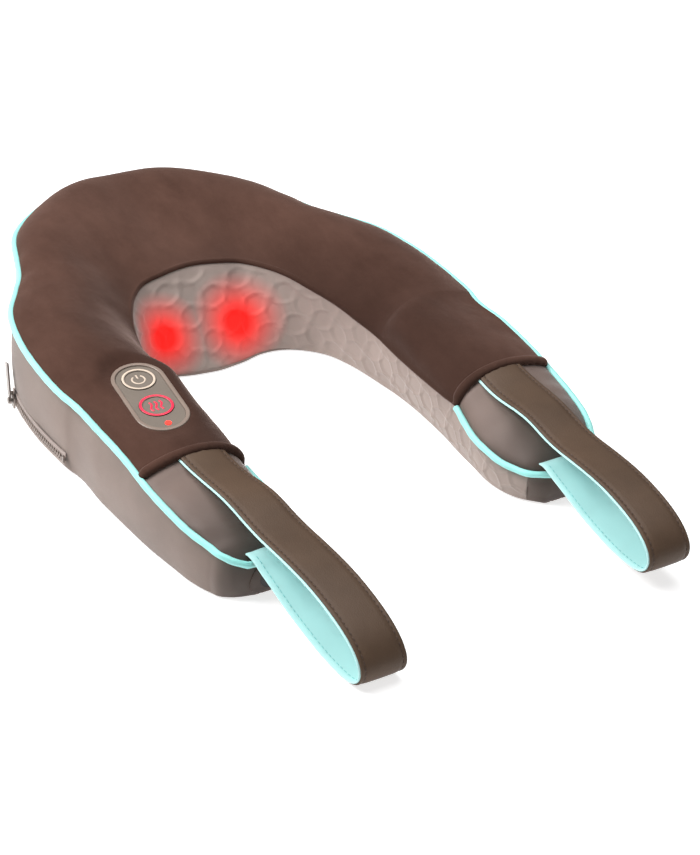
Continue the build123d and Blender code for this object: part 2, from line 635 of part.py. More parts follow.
def make_shells():
    plane = mech_plane().location
    outline = shell_outline(0)
    for x, v in SCREWS:
        outline += Pos(x, v) * Circle(3.6)
    hollow = shell_outline(SHELL_T)
    cavity = extrude(Plane.XY.offset(SHELL_REAR + SHELL_T) * hollow, SHELL_FRONT - SHELL_REAR - 2 * SHELL_T)
    cavity -= disc(0, 17, -40, 0, 3.6)
    cavity += rod_x(THREAD + WORM_R + 0.8, -42, 42)
    bores = rod_x(4.1, -SHELL_HALF_X + 1.0, -40) + rod_x(4.1, 40, SHELL_HALF_X - 1.0) + rod_x(2.0, -60, 60)
    hump = rod_x(8.4, -SHELL_HALF_X, SHELL_HALF_X)
    for node, low, high in (("front_shell", WHEEL_N, SHELL_FRONT), ("rear_shell", SHELL_REAR, WHEEL_N)):
        shell = extrude(Plane.XY.offset(low) * outline, high - low)
        slab = (WHEEL_N, HUMP_FRONT) if high > WHEEL_N else (WHEEL_N - 20, WHEEL_N)
        shell += hump & Pos(0, WORM_V, sum(slab) / 2) * Box(200, 60, slab[1] - slab[0])
        shell = shell - cavity - bores
        for x, v in SCREWS:
            shell -= disc(x, v, -50, -22 if high > WHEEL_N else 0, 1.4)
        for sign in SIDES.values():
            if node == "front_shell":
                shell -= disc(sign * HEAD_X, HEAD_V, -30, 0, 6.0)
            else:
                shell -= disc(sign * HEAD_X, HEAD_V, SHELL_REAR + 0.8, -20, SHAFT_R + RUNNING)
                shell -= disc(sign * HEAD_X, HEAD_V, -40, -20, 1.75)
        keep(plane * shell, node)
    screws = []
    for x, v in SCREWS:
        screws.append(plane * (disc(x, v, SHELL_REAR - 1.6, -22.4, 1.25) + disc(x, v, SHELL_REAR - 1.8, SHELL_REAR, 2.6)))
    keep(screws, "shell_screws")


def wheel_outline():
    """Worm wheel teeth: narrow rounded teeth that sit in the thread's wave with some play."""
    points = []
    steps = 6
    for k in range(WHEEL_TEETH * steps):
        angle = 2 * pi * k / (WHEEL_TEETH * steps) + pi / 2
        wave = (0.5 + 0.5 * cos(2 * pi * k / steps)) ** TOOTH_SLIM
        r = WHEEL_R - THREAD - TOOTH_PLAY + (2 * THREAD - 0.1) * wave
        points.append((r * cos(angle), r * sin(angle)))
    return make_face(Polyline(*points, close=True))


def make_heads():
    plane = mech_plane().location
    twist = degrees(WHEEL_T * LEAD / (2 * pi * WORM_R) / WHEEL_R)
    wheel = Solid.extrude_linear_with_rotation(wheel_outline().face(), (0, 0, 0), (0, 0, WHEEL_T), twist)
    wheel = Pos(0, 0, WHEEL_N - WHEEL_T / 2) * Rot(0, 0, -twist / 2) * wheel - disc(0, 0, -50, 0, SHAFT_R)
    for side, sign in SIDES.items():
        seat = plane * Pos(sign * HEAD_X, HEAD_V, 0)
        keep(seat * (wheel if sign > 0 else mirror(wheel, Plane.YZ)), f"{side}_worm_wheel")
        shaft = disc(0, 0, SHELL_REAR + 0.9, PLATE_LOW + PLATE_T, SHAFT_R) - disc(0, 0, -50, 0, SHAFT_BORE_R)
        keep(seat * shaft, f"{side}_output_shaft")
        plate = SlotOverall(2 * (HEAD_REACH + NODE_R), 2 * NODE_R).face()
        arm = extrude(Plane.XY.offset(PLATE_LOW) * plate, PLATE_T) + disc(0, 0, SHELL_FRONT + 0.8, PLATE_LOW, 7.0)
        keep(seat * Rot(0, 0, sign * 35) * (arm - disc(0, 0, -50, 0, SHAFT_R)), f"{side}_head_arm")
        nodes = []
        for reach in (-HEAD_REACH, HEAD_REACH):
            node = disc(reach, 0, NODE_TOP - NODE_H, NODE_TOP, NODE_R)
            node = fillet(node.edges().sort_by(Axis.Z)[-1:], 6.8)
            nodes.append(seat * Rot(0, 0, sign * 35) * node)
        keep(nodes, f"{side}_massage_nodes")
        lamp = disc(0, 0, SHELL_REAR, PLATE_LOW + PLATE_T + 0.6, 1.7)
        lamp += disc(0, 0, PLATE_LOW + PLATE_T + 0.5, PLATE_LOW + PLATE_T + 4.5, 6.0)
        keep(seat * lamp, f"{side}_heat_lamp")
    bushes = [plane * (disc(sign * HEAD_X, HEAD_V, -21.3, SHELL_FRONT + 0.5, 5.95)
                       - disc(sign * HEAD_X, HEAD_V, -50, 0, SHAFT_R + RUNNING)) for sign in SIDES.values()]
    keep(bushes, "output_bushes")


def worm_thread():
    """The thread over the right wheel: a round bar set off its axis and twisted."""
    turns = round(WORM_L / LEAD)
    bar = Pos(THREAD, 0) * Circle(WORM_R)
    thread = Solid.extrude_linear_with_rotation(bar.face(), (0, 0, 0), (0, 0, turns * LEAD), 360 * turns)
    phase = 90 + 180 * (turns % 2)
    return Pos(HEAD_X - turns * LEAD / 2, WORM_V, WHEEL_N) * Rot(0, 90, 0) * Rot(0, 0, phase) * thread


def make_drive():
    plane = mech_plane().location
    thread = worm_thread()
    end = HEAD_X + round(WORM_L / LEAD) * LEAD / 2
    worm = rod_x(3.0, -end - 1.5, end + 1.5) + thread + mirror(thread, Plane.YZ)
    keep(plane * (worm - rod_x(MOTOR_SHAFT_R, -80, 80)), "worm")
    keep(plane * rod_x(MOTOR_SHAFT_R, -MOTOR_X[1] + 2, SHELL_HALF_X - 1.2), "motor_shaft")
    bushes = []
    for x0, x1 in ((-SHELL_HALF_X + 1.0, -42.5), (42.5, SHELL_HALF_X - 1.0)):
        bushes.append(plane * (rod_x(4.05, x0, x1) - rod_x(MOTOR_SHAFT_R + RUNNING, -80, 80)))
    keep(bushes, "worm_bushes")
    x0, x1 = -MOTOR_X[1], -MOTOR_X[0]
    can = rod_x(MOTOR_R, x0, x1) - rod_x(MOTOR_R - 1, x0 - 1, x1 - 1.2) - rod_x(MOTOR_SHAFT_R + 0.4, -99, 0)
    keep(plane * can, "motor_can")
    cap = rod_x(MOTOR_R, x0 - 4, x0 - 0.05) - rod_x(MOTOR_SHAFT_R + RUNNING, x0 - 2, x0 + 2)
    keep(plane * cap, "motor_end_cap")
    keep(plane * (rod_x(8.5, x0 + 5, x1 - 5) - rod_x(MOTOR_SHAFT_R, -99, 0)), "motor_armature")
    cup = rod_x(MOTOR_R + 1.8, x1 - 7, x1 + 1.6) - rod_x(MOTOR_R + 0.05, x0, x1 + 0.05)
    neck = rod_x(8.0, x1 + 1.5, -SHELL_HALF_X - 0.1)
    keep(plane * (cup + neck - rod_x(4.5, -99, 0)), "motor_bracket")


def make_all():
    make_skins()
    make_piping()
    make_foam()
    make_straps()
    make_key_pad()
    make_jack()
    make_leads()
    make_zipper()
    make_shells()
    make_heads()
    make_drive()


make_all()
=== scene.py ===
import json
from math import cos, exp, pi, radians, sin, sqrt

import bpy
import numpy as np
from mathutils import Matrix, Vector, noise


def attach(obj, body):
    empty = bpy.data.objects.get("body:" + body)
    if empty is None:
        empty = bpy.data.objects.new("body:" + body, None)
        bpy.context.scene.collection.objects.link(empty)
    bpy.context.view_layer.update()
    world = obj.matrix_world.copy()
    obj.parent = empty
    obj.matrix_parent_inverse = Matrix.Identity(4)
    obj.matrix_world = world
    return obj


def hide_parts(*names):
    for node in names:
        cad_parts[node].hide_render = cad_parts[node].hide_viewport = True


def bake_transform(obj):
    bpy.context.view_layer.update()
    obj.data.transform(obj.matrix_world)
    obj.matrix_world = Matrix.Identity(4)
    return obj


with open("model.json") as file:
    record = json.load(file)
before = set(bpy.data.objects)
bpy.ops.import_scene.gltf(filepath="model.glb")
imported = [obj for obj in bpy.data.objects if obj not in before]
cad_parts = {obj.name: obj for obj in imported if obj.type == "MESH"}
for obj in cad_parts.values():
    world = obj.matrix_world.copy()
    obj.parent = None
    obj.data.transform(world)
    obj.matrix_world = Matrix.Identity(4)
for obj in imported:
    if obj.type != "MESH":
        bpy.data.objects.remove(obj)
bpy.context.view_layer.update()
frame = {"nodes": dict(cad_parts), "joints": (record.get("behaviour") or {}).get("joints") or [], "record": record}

# Shiatsu neck massager. Sizes are in millimetres, and each mesh is written in metres.
# +Z up, the arms point to -Y, left is -X. Y of the feature places is measured from the arcs' centre.
MM = 0.001
BODY = "massager_body"
NECK_Y = 17.1
ARM_STEP = 90.0
END = 3.01                  # last station, at an arm's end
HEM = 2.08                  # station of the rolled hem
NECK_SEAM = 2.92            # where the neck panel is sewn to the side band, at an arm's end
BULGE = 3.0
END_Y = -(END - 1) * ARM_STEP

# Outline of the body by station: 0 at the middle of the back, 1 where the back becomes an arm.
# Distances are from the arcs' centre, or from X = 0 on the arms.
OUTER_EDGE = (              # station, distance, height
    (0, 258, 64), (0.1, 252.5, 69), (0.2, 239, 72), (0.3, 223, 73.5), (0.38, 204, 73), (0.44, 193, 72),
    (0.52, 187, 71.5), (0.62, 184.5, 70), (0.73, 177.5, 67.5), (0.86, 170, 64.5), (1, 165.5, 62),
    (1.5, 164, 60), (1.9, 163, 56), (2.17, 162.5, 51), (2.45, 160.5, 46.5),
    (2.7, 156.5, 41.8), (2.85, 151, 38), (2.95, 146, 34.3), (2.99, 140, 31), (3.01, 134, 28.5))
INNER_EDGE = (              # station, distance, height
    (0, 124.5, 64.5), (0.13, 124.6, 63), (0.21, 126.5, 60.5), (0.29, 122, 59), (0.4, 113, 57),
    (0.49, 106, 54), (0.65, 97.4, 50), (0.8, 92.5, 46), (0.93, 92, 43), (1.17, 91, 41),
    (1.5, 89, 41), (1.9, 88, 41), (2.1, 88.7, 40), (2.26, 86.3, 36), (2.41, 84.8, 32),
    (2.6, 85.5, 29), (2.71, 87.5, 27), (2.82, 91.6, 26), (2.94, 99, 25.5), (3.01, 109, 26))
INNER_FOOT = (              # station, distance
    (0, 72), (0.1, 74), (0.2, 79), (0.29, 87.7), (0.4, 95.7), (0.52, 99.5), (0.64, 100), (0.72, 98),
    (0.9, 95), (1.12, 97), (1.4, 98), (1.65, 97), (1.9, 95), (2.12, 92), (2.36, 90),
    (2.58, 88), (2.75, 90), (2.88, 95), (3.01, 106))
OUTER_INSET = (             # station, how far the foot lies inside the edge
    (0, 6), (0.3, 4), (0.62, 2), (0.73, 2), (0.86, 3), (1, 3), (1.5, 1.5), (1.9, 1), (2.17, 1.4),
    (2.45, 2), (2.7, 1), (2.85, 0), (2.95, 1), (2.99, 3), (3.01, 5))
CROWN = (                   # station, rise, outer fullness, inner fullness
    (0, 21.5, 0.5, 1.6), (0.3, 15, 0.8, 1.5), (0.6, 14, 0.85, 1), (0.9, 17, 0.9, 0.6),
    (1.1, 22, 1.1, 0.3), (1.6, 19, 1.1, 0.3), (1.9, 17, 0.9, 0.38), (2.17, 14.5, 0.85, 0.5),
    (2.7, 12, 0.7, 0.6), (2.9, 7, 0.7, 0.6), (3.01, 1, 0.7, 0.7))

PIPING_R = 2.3
PIPING_OUT = 2.5
PIPING_DROP = 1.0
PETAL_R = 17.0              # half the pitch of the neck panel's embossed flowers
PETAL_SHAPE = (0.47, 0.31)  # half length and half width of a petal, in pitches
PETAL_H = 0.62
PATTERN_TURN = radians(-17)

STRAP_W = 34.0
STRAP_HEM_X = 121.0
STRAP_TIP_X = {"left": 108.0, "right": 116.0}
STRAP_LIFT = {"left": 0.0, "right": 12.0}
STRAP_HEM_Y = -94.0
STRAP_BASE_END_Y = -180.0
STRAP_TIP_Y = -300.0
STRAP_START_Y = -99.5       # under the hem
STRAP_PIVOT = (-181.6, 51.0)
STRAP_LOW_CLEAR, STRAP_CLEAR = 1.1, 2.0     # above the cap, at the hem and further on
STRAP_TAUT = (5.5, -150.0, 30.0)            # rise where the strap is pulled straight, its Y and reach
STRAP_LOOP = (              # Y and height, out to the tip and back
    (-183.2, 51.2), (-215, 50), (-245, 46), (-272, 38), (-290, 28.5), (-299, 17.5), (-297, 7.6),
    (-287, 3.6), (-262, 6), (-230, 14.5), (-206, 23.6), (-195, 27.6))
STRAP_TAIL = ((-189.5, 30.2), (-185, 31.8), (-180.4, 32.3), (-177.5, 31.6))

PAD_L, PAD_W = 78.0, 37.5
PAD_REACH = 70.0            # the cover is changed no further from the pad's middle
PAD_EASE = 15.0             # width round the rim where the cover comes level with it
PAD_HOLE_IN = 2.5           # how far inside the rim the cover is cut away
PAD_LAP, PAD_TUCK = 0.7, -0.6
# The left arm's cover is fuller beside the key pad: how far it overhangs, rises and hangs down.
FULLER_IN, FULLER_UP, FULLER_DOWN = 8.0, 9.0, 3.0
FULLER_START, FULLER_END = (0.44, 0.48), (1.42, 0.5)    # station, and the width of the change there

KEY_RING_R = 10.7
KEY_MARK = 0.2              # how far the icons stand out of a key
HEM_R = 3.9
HEM_STITCH = 6.5            # pitch
JACK_SEAM = (-118.5, 12.5, 14.0, 12.0)      # middle in X and Z, half width and half height
COVER_T, BAND_T = 1.3, 1.2  # thickness of the padded and of the plain skins

SIDES = {"left": -1, "right": 1}


# ---------------------------------------------------------------- the body's surface
def column(table, station, k):
    s = min(max(abs(station), table[0][0]), table[-1][0])
    last = len(table) - 1
    i = max([j for j in range(last) if table[j][0] <= s], default=0)

    def chord(j):
        return (table[j + 1][k] - table[j][k]) / (table[j + 1][0] - table[j][0])

    def slope(j):
        if j == 0:
            return 0.0
        if j == last:
            return chord(last - 1)
        before = table[j][0] - table[j - 1][0]
        after = table[j + 1][0] - table[j][0]
        return (chord(j - 1) * after + chord(j) * before) / (before + after)

    width = table[i + 1][0] - table[i][0]
    t = (s - table[i][0]) / width
    start, end = table[i][k], table[i + 1][k]
    return (start * (1 + 2 * t) * (1 - t) ** 2 + slope(i) * width * t * (1 - t) ** 2
            + end * t * t * (3 - 2 * t) + slope(i + 1) * width * t * t * (t - 1))


def place(station, r, z):
    side = -1 if station < 0 else 1
    s = abs(station)
    if s <= 1:
        return Vector((side * r * sin(s * pi / 2), NECK_Y + r * cos(s * pi / 2), z))
    return Vector((side * r, NECK_Y - (s - 1) * ARM_STEP, z))


def crown(station, share):
    """Distance and height on the top cover, from the outer edge (0) to the inner edge (1)."""
    r0, z0 = column(OUTER_EDGE, station, 1), column(OUTER_EDGE, station, 2)
    r1, z1 = column(INNER_EDGE, station, 1), column(INNER_EDGE, station, 2)
    rise, outer, inner = (column(CROWN, station, k) for k in (1, 2, 3))
    lift = 0.0
    if 0 < share < 1:
        peak = outer / (outer + inner)
        lift = rise * (share / peak) ** outer * ((1 - share) / (1 - peak)) ** inner
    return r0 + (r1 - r0) * share, z0 + (z1 - z0) * share + lift


def spread(start, end, count):
    return [start + (end - start) * k / (count - 1) for k in range(count)]


def end_stations(start, count):
    """Stations up to the arm's end, closer together round its corner."""
    return [start + (END - start) * sin(pi / 2 * k / (count - 1)) for k in range(count)]


def smoothstep(x):
    x = min(max(x, 0.0), 1.0)
    return x * x * (3 - 2 * x)


# ---------------------------------------------------------------- mesh helpers
def piece(name, verts, faces, material, body=BODY, smooth=True):
    mesh = bpy.data.meshes.new(name)
    mesh.from_pydata([tuple(c * MM for c in v) for v in verts], [], faces)
    mesh.validate()
    mesh.polygons.foreach_set("use_smooth", [smooth] * len(mesh.polygons))
    obj = bpy.data.objects.new(name, mesh)
    bpy.context.scene.collection.objects.link(obj)
    obj.data.materials.append(material)
    if body:
        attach(obj, body)
    return obj


def grid_faces(rows, columns, wrap_rows=False, wrap_columns=False, flip=False):
    faces = []
    for i in range(rows if wrap_rows else rows - 1):
        for j in range(columns if wrap_columns else columns - 1):
            a, b = i * columns + j, i * columns + (j + 1) % columns
            c, d = (i + 1) % rows * columns + (j + 1) % columns, (i + 1) % rows * columns + j
            faces.append((a, d, c, b) if flip else (a, b, c, d))
    return faces


def sheet_piece(name, grid, material, thickness, flip=False, hole=None):
    """A sewn skin from a grid of outer points, with the cloth's thickness inside it."""
    faces = grid_faces(*grid.shape[:2], flip=flip)
    if hole is not None:
        faces = [face for face in faces if not any(hole[v] for v in face)]
    obj = piece(name, grid.reshape(-1, 3), faces, material)
    solid = obj.modifiers.new("cloth", "SOLIDIFY")
    solid.thickness = thickness * MM
    solid.offset = -1
    return obj


def normals(grid, flip=False):
    across = np.cross(np.gradient(grid, axis=0), np.gradient(grid, axis=1))
    across /= np.maximum(np.linalg.norm(across, axis=2, keepdims=True), 1e-9)
    return across if flip else -across


def tube_grid(points, rings, level=(0, 0, 1)):
    """One ring of (across, up) offsets per point, square to the line of points."""
    spots = np.array([tuple(p) for p in points], float)
    along = np.gradient(spots, axis=0)
    along /= np.linalg.norm(along, axis=1, keepdims=True)
    across = np.cross(along, level)
    across /= np.linalg.norm(across, axis=1, keepdims=True)
    up = np.cross(across, along)
    offsets = np.array(rings, float)
    return spots[:, None] + across[:, None] * offsets[..., :1] + up[:, None] * offsets[..., 1:]


def tube_piece(name, points, rings, material, level=(0, 0, 1)):
    grid = tube_grid(points, rings, level)
    rows, columns = grid.shape[:2]
    faces = grid_faces(rows, columns, wrap_columns=True)
    faces += [tuple(reversed(range(columns))), tuple(range((rows - 1) * columns, rows * columns))]
    return piece(name, grid.reshape(-1, 3), faces, material)


def circle(radius, sides=16):
    return [(radius * cos(2 * pi * k / sides), radius * sin(2 * pi * k / sides)) for k in range(sides)]


def smooth_path(points, pieces=6):
    """Points along a smooth curve through the given ones."""
    spots = [tuple(p) for p in points]
    result = []
    for k in range(len(spots) - 1):
        a, b = spots[k], spots[k + 1]
        before, after = spots[max(k - 1, 0)], spots[min(k + 2, len(spots) - 1)]
        for n in range(pieces):
            t = n / pieces
            result.append(tuple(
                0.5 * (2 * q + (r - p) * t + (2 * p - 5 * q + 4 * r - w) * t * t
                       + (3 * q - p - 3 * r + w) * t ** 3)
                for p, q, r, w in zip(before, a, b, after)))
    return result + [spots[-1]]


def lengths(points):
    spots = np.array([tuple(p) for p in points], float)
    steps = np.linalg.norm(np.diff(spots, axis=0), axis=1)
    return np.concatenate([[0.0], np.cumsum(steps)])


# ---------------------------------------------------------------- materials
class Nodes:
    """Short calls for one material's node tree."""

    def __init__(self, name, roughness=0.6, **sockets):
        self.material = bpy.data.materials.new(name)
        self.material.use_nodes = True
        self.tree = self.material.node_tree
        self.shader = self.tree.nodes["Principled BSDF"]
        self.shader.inputs["Roughness"].default_value = roughness
        for socket, value in sockets.items():
            self.shader.inputs[socket.replace("_", " ")].default_value = value
        self.coords = self.tree.nodes.new("ShaderNodeTexCoord").outputs["Object"]

    def join(self, source, target):
        self.tree.links.new(source, target)

    def noise(self, scale, detail=4.0, rough=0.55, stretch=(1, 1, 1)):
        where = self.tree.nodes.new("ShaderNodeMapping")
        where.inputs["Scale"].default_value = stretch
        self.join(self.coords, where.inputs["Vector"])
        node = self.tree.nodes.new("ShaderNodeTexNoise")
        node.inputs["Scale"].default_value = scale
        node.inputs["Detail"].default_value = detail
        node.inputs["Roughness"].default_value = rough
        self.join(where.outputs["Vector"], node.inputs["Vector"])
        return node.outputs["Fac"]

    def wave(self, scale, turn=(0, 0, 0), distortion=0.0):
        where = self.tree.nodes.new("ShaderNodeMapping")
        where.inputs["Rotation"].default_value = turn
        self.join(self.coords, where.inputs["Vector"])
        node = self.tree.nodes.new("ShaderNodeTexWave")
        node.inputs["Scale"].default_value = scale
        node.inputs["Distortion"].default_value = distortion
        self.join(where.outputs["Vector"], node.inputs["Vector"])
        return node.outputs["Fac"]

    def weave(self, scale):
        warp = self.wave(scale, (0, 0, radians(45)))
        weft = self.wave(scale, (0, radians(45), radians(-45)))
        return self.math("MULTIPLY", warp, weft)

    def axes(self):
        """X, Y and Z of the point, in metres."""
        node = self.tree.nodes.new("ShaderNodeSeparateXYZ")
        self.join(self.coords, node.inputs[0])
        return node.outputs

    def math(self, operation, a, b=None, c=None, clamp=False):
        node = self.tree.nodes.new("ShaderNodeMath")
        node.operation = operation
        node.use_clamp = clamp
        for k, value in enumerate((a, b, c)):
            if value is None:
                continue
            if isinstance(value, (int, float)):
                node.inputs[k].default_value = value
            else:
                self.join(value, node.inputs[k])
        return node.outputs[0]

    def ramp(self, fac, *stops):
        node = self.tree.nodes.new("ShaderNodeValToRGB")
        for k, (at, colour) in enumerate(stops):
            stop = node.color_ramp.elements[k] if k < 2 else node.color_ramp.elements.new(at)
            stop.position = at
            stop.color = (*colour, 1)
        self.join(fac, node.inputs["Fac"])
        return node.outputs["Color"]

    def mottle(self, fac, colour, dark, light, end=0.7):
        return self.ramp(fac, (0.3, scaled(colour, dark)), (end, scaled(colour, light)))

    def mix(self, fac, a, b):
        node = self.tree.nodes.new("ShaderNodeMix")
        node.data_type = "RGBA"
        self.join(fac, node.inputs["Factor"])
        for value, socket in ((a, node.inputs[6]), (b, node.inputs[7])):
            if isinstance(value, tuple):
                socket.default_value = (*value, 1)
            else:
                self.join(value, socket)
        return node.outputs[2]

    def colour(self, source):
        self.join(source, self.shader.inputs["Base Color"])

    def bump(self, *layers):
        """Layers of (height, strength, distance in metres), the finest last."""
        below = None
        for height, strength, distance in layers:
            node = self.tree.nodes.new("ShaderNodeBump")
            node.inputs["Strength"].default_value = strength
            node.inputs["Distance"].default_value = distance
            self.join(height, node.inputs["Height"])
            if below:
                self.join(below, node.inputs["Normal"])
            below = node.outputs["Normal"]
        self.join(below, self.shader.inputs["Normal"])


def scaled(colour, by):
    return tuple(min(c * by, 1.0) for c in colour)


def velour():
    dark, light = (0.05, 0.023, 0.016), (0.09, 0.045, 0.033)
    m = Nodes("velour", 0.95, Sheen_Weight=0.45, Sheen_Roughness=0.35, Sheen_Tint=(0.62, 0.47, 0.42, 1),
              Specular_IOR_Level=0.12)
    broad = m.noise(9, 3)
    brushed = m.noise(60, 5, 0.7, (1, 0.5, 1))
    tone = m.math("ADD", m.math("MULTIPLY", broad, 0.6), m.math("MULTIPLY", brushed, 0.4))
    nap = m.ramp(tone, (0.34, dark), (0.68, light))
    # Painted shade: the nap is darkened toward the neck opening, most within 100 mm of the neck's middle and none
    # beyond 150 mm, for the shade in the scoop.
    x, y, _ = m.axes()
    back = m.math("MAXIMUM", m.math("SUBTRACT", y, NECK_Y * MM), 0.0)
    across = m.math("POWER", m.math("ABSOLUTE", x), 2.0)
    round_neck = m.math("SQRT", m.math("ADD", m.math("POWER", back, 2.0), across))
    near = m.math("DIVIDE", m.math("SUBTRACT", 0.15, round_neck), 0.05, clamp=True)
    m.colour(m.mix(m.math("MULTIPLY", near, 0.55), nap, scaled(dark, 0.45)))
    m.bump((m.noise(140, 4), 0.35, 0.0008), (m.noise(2600, 2, 0.8), 0.5, 0.00025))
    return m.material


def woven(name, colour, roughness=0.75, thread=900, depth=0.0002, sheen=0.25, variation=0.16,
          front=None):
    """Cloth; front gives the Y where painted shade starts and stops turning the colour darker, and how dark it
    gets.
    """
    m = Nodes(name, roughness, Sheen_Weight=sheen, Sheen_Roughness=0.4, Specular_IOR_Level=0.3)
    mottle_and_painted_shade = m.mottle(m.noise(14, 4), colour, 1 - variation, 1 + variation, 0.72)
    # Painted shade: past the given Y the colour darkens toward the arms' ends, standing in for the shade there.
    if front:
        start, stop, share = front
        _, y, _ = m.axes()
        way = m.math("DIVIDE", m.math("SUBTRACT", start * MM, y), (start - stop) * MM, clamp=True)
        mottle_and_painted_shade = m.mix(m.math("SMOOTH_MIN", way, 1.0, 0.1), mottle_and_painted_shade, scaled(colour, share))
    m.colour(mottle_and_painted_shade)
    m.bump((m.noise(55, 3), 0.25, 0.0009), (m.weave(thread), 0.35, depth))
    return m.material


GLOWS = ((25.5, 92.2, 25.4, 40.0), (-36.4, 93.1, 26.8, 36.0))    # x, y, z and reach


def neck_cloth():
    """Embossed cloth, with the warming light of the heads shining through it."""
    colour = (0.3, 0.24, 0.213)
    m = Nodes("neck_cloth", 0.8, Sheen_Weight=0.3, Sheen_Roughness=0.4, Specular_IOR_Level=0.25)
    cloth = m.mottle(m.noise(22, 4), colour, 0.9, 1.1, 0.72)
    glow = None
    for x, y, z, reach in GLOWS:
        far = m.tree.nodes.new("ShaderNodeVectorMath")
        far.operation = "DISTANCE"
        m.join(m.coords, far.inputs[0])
        far.inputs[1].default_value = (x * MM, (y + NECK_Y) * MM, z * MM)
        near = m.math("SUBTRACT", 1.0, m.math("DIVIDE", far.outputs["Value"], reach * MM), clamp=True)
        near = m.math("MINIMUM", m.math("MULTIPLY", m.math("POWER", near, 1.25), 1.35), 1.0)
        glow = near if glow is None else m.math("MAXIMUM", glow, near)
    m.colour(m.mix(glow, cloth, (0.8, 0.01, 0.007)))
    m.shader.inputs["Emission Color"].default_value = (1.0, 0.008, 0.004, 1)
    m.join(m.math("MULTIPLY", m.math("POWER", glow, 1.5), 0.45), m.shader.inputs["Emission Strength"])
    m.bump((m.noise(90, 3), 0.2, 0.0006), (m.weave(700), 0.3, 0.0002))
    return m.material


def satin_cord():
    colour = (0.31, 0.72, 0.68)
    m = Nodes("piping_cord", 0.45, Sheen_Weight=0.3, Sheen_Roughness=0.3, Specular_IOR_Level=0.4)
    m.colour(m.mottle(m.noise(40, 3), colour, 0.9, 1.08))
    m.bump((m.noise(120, 3), 0.2, 0.0005), (m.wave(900, (0, 0, radians(45))), 0.25, 0.00015))
    return m.material


def leather():
    colour = (0.08, 0.049, 0.031)
    m = Nodes("strap_leather", 0.5, Specular_IOR_Level=0.22)
    m.colour(m.mottle(m.noise(26, 4), colour, 0.86, 1.14))
    cells = m.tree.nodes.new("ShaderNodeTexVoronoi")
    cells.inputs["Scale"].default_value = 950
    m.join(m.coords, cells.inputs["Vector"])
    m.bump((m.noise(120, 3), 0.2, 0.0005), (cells.outputs["Distance"], 0.35, 0.00025))
    return m.material


def moulded(name, colour, roughness=0.45, grain=0.2, variation=0.06, **sockets):
    m = Nodes(name, roughness, **sockets)
    m.colour(m.mottle(m.noise(70, 4), colour, 1 - variation, 1 + variation))
    m.bump((m.noise(1500, 2), grain, 0.0001))
    return m.material


def metal(name, colour, roughness=0.35):
    m = Nodes(name, roughness, Metallic=1.0)
    m.colour(m.mottle(m.noise(90, 4), colour, 0.85, 1.1))
    m.bump((m.noise(900, 3, 0.6, (1, 12, 1)), 0.15, 0.0001))
    return m.material


def lit(name, colour, strength):
    m = Nodes(name, 0.35)
    m.colour(m.mottle(m.noise(300, 2), colour, 0.9, 1.0))
    m.shader.inputs["Emission Color"].default_value = (*colour, 1)
    m.shader.inputs["Emission Strength"].default_value = strength
    return m.material


def foam():
    m = Nodes("foam", 0.9)
    m.colour(m.ramp(m.noise(200, 4), (0.3, (0.7, 0.64, 0.48)), (0.7, (0.82, 0.77, 0.62))))
    m.bump((m.noise(900, 3), 0.6, 0.0004))
    return m.material


MATERIALS = {
    "velour": velour(),
    # side_cloth and cap_cloth get painted shade, darker toward the arms' ends.
    "side_cloth": woven("side_cloth", (0.2, 0.15, 0.128), front=(-148, -164, 0.42)),
    "neck_cloth": neck_cloth(),
    "cap_cloth": woven("cap_cloth", (0.15, 0.105, 0.088), 0.5, 1100, 0.00012, 0.3, 0.1,
                       (-105, -160, 0.5)),
    "base_cloth": woven("base_cloth", (0.2, 0.15, 0.13), 0.85, 500, 0.0004),
    "piping_cord": satin_cord(),
    "foam": foam(),
    "strap_leather": leather(),
    "strap_lining": woven("strap_lining", (0.45, 0.73, 0.72), 0.5, 800, 0.00015, 0.3, 0.05),
    "zipper_tape": woven("zipper_tape", (0.32, 0.26, 0.235), 0.8, 700),
    "zipper_metal": metal("zipper_metal", (0.3, 0.26, 0.24), 0.32),
    "zipper_coil": moulded("zipper_coil", (0.24, 0.19, 0.165), 0.45),
    "pad_frame": moulded("pad_frame", (0.22, 0.165, 0.135), 0.32, 0.15),
    "pad_face": moulded("pad_face", (0.15, 0.122, 0.098), 0.5, 0.3),
    "key": moulded("key", (0.16, 0.13, 0.105), 0.5, 0.3),
    "lens": lit("lens", (1.0, 0.03, 0.02), 1.6),
    "board": moulded("board", (0.02, 0.14, 0.06), 0.4),
    "switch": moulded("switch", (0.03, 0.03, 0.03), 0.4),
    "housing": moulded("housing", (0.05, 0.05, 0.05), 0.5),
    "jack_body": moulded("jack_body", (0.02, 0.018, 0.017), 0.4),
    "jack_metal": metal("jack_metal", (0.85, 0.7, 0.42), 0.25),
    "lead": moulded("lead", (0.03, 0.03, 0.03), 0.55),
    "shell": moulded("shell", (0.55, 0.54, 0.5), 0.45),
    "steel": metal("steel", (0.6, 0.6, 0.6), 0.3),
    "bush": metal("bush", (0.72, 0.55, 0.3), 0.4),
    "gear": moulded("gear", (0.8, 0.77, 0.68), 0.4),
    "head": moulded("head", (0.08, 0.08, 0.08), 0.5),
    "node_cover": moulded("node_cover", (0.7, 0.08, 0.05), 0.3),
    "motor_metal": metal("motor_metal", (0.5, 0.5, 0.5), 0.28),
    "copper": metal("copper", (0.65, 0.3, 0.14), 0.35)}
BEIGE = moulded("beige_print", (0.62, 0.5, 0.4), 0.45, 0.1)
RED = lit("red_print", (0.75, 0.02, 0.06), 0.35)
THREAD = woven("thread", (0.07, 0.043, 0.032), 0.7, 1500, 0.0001)
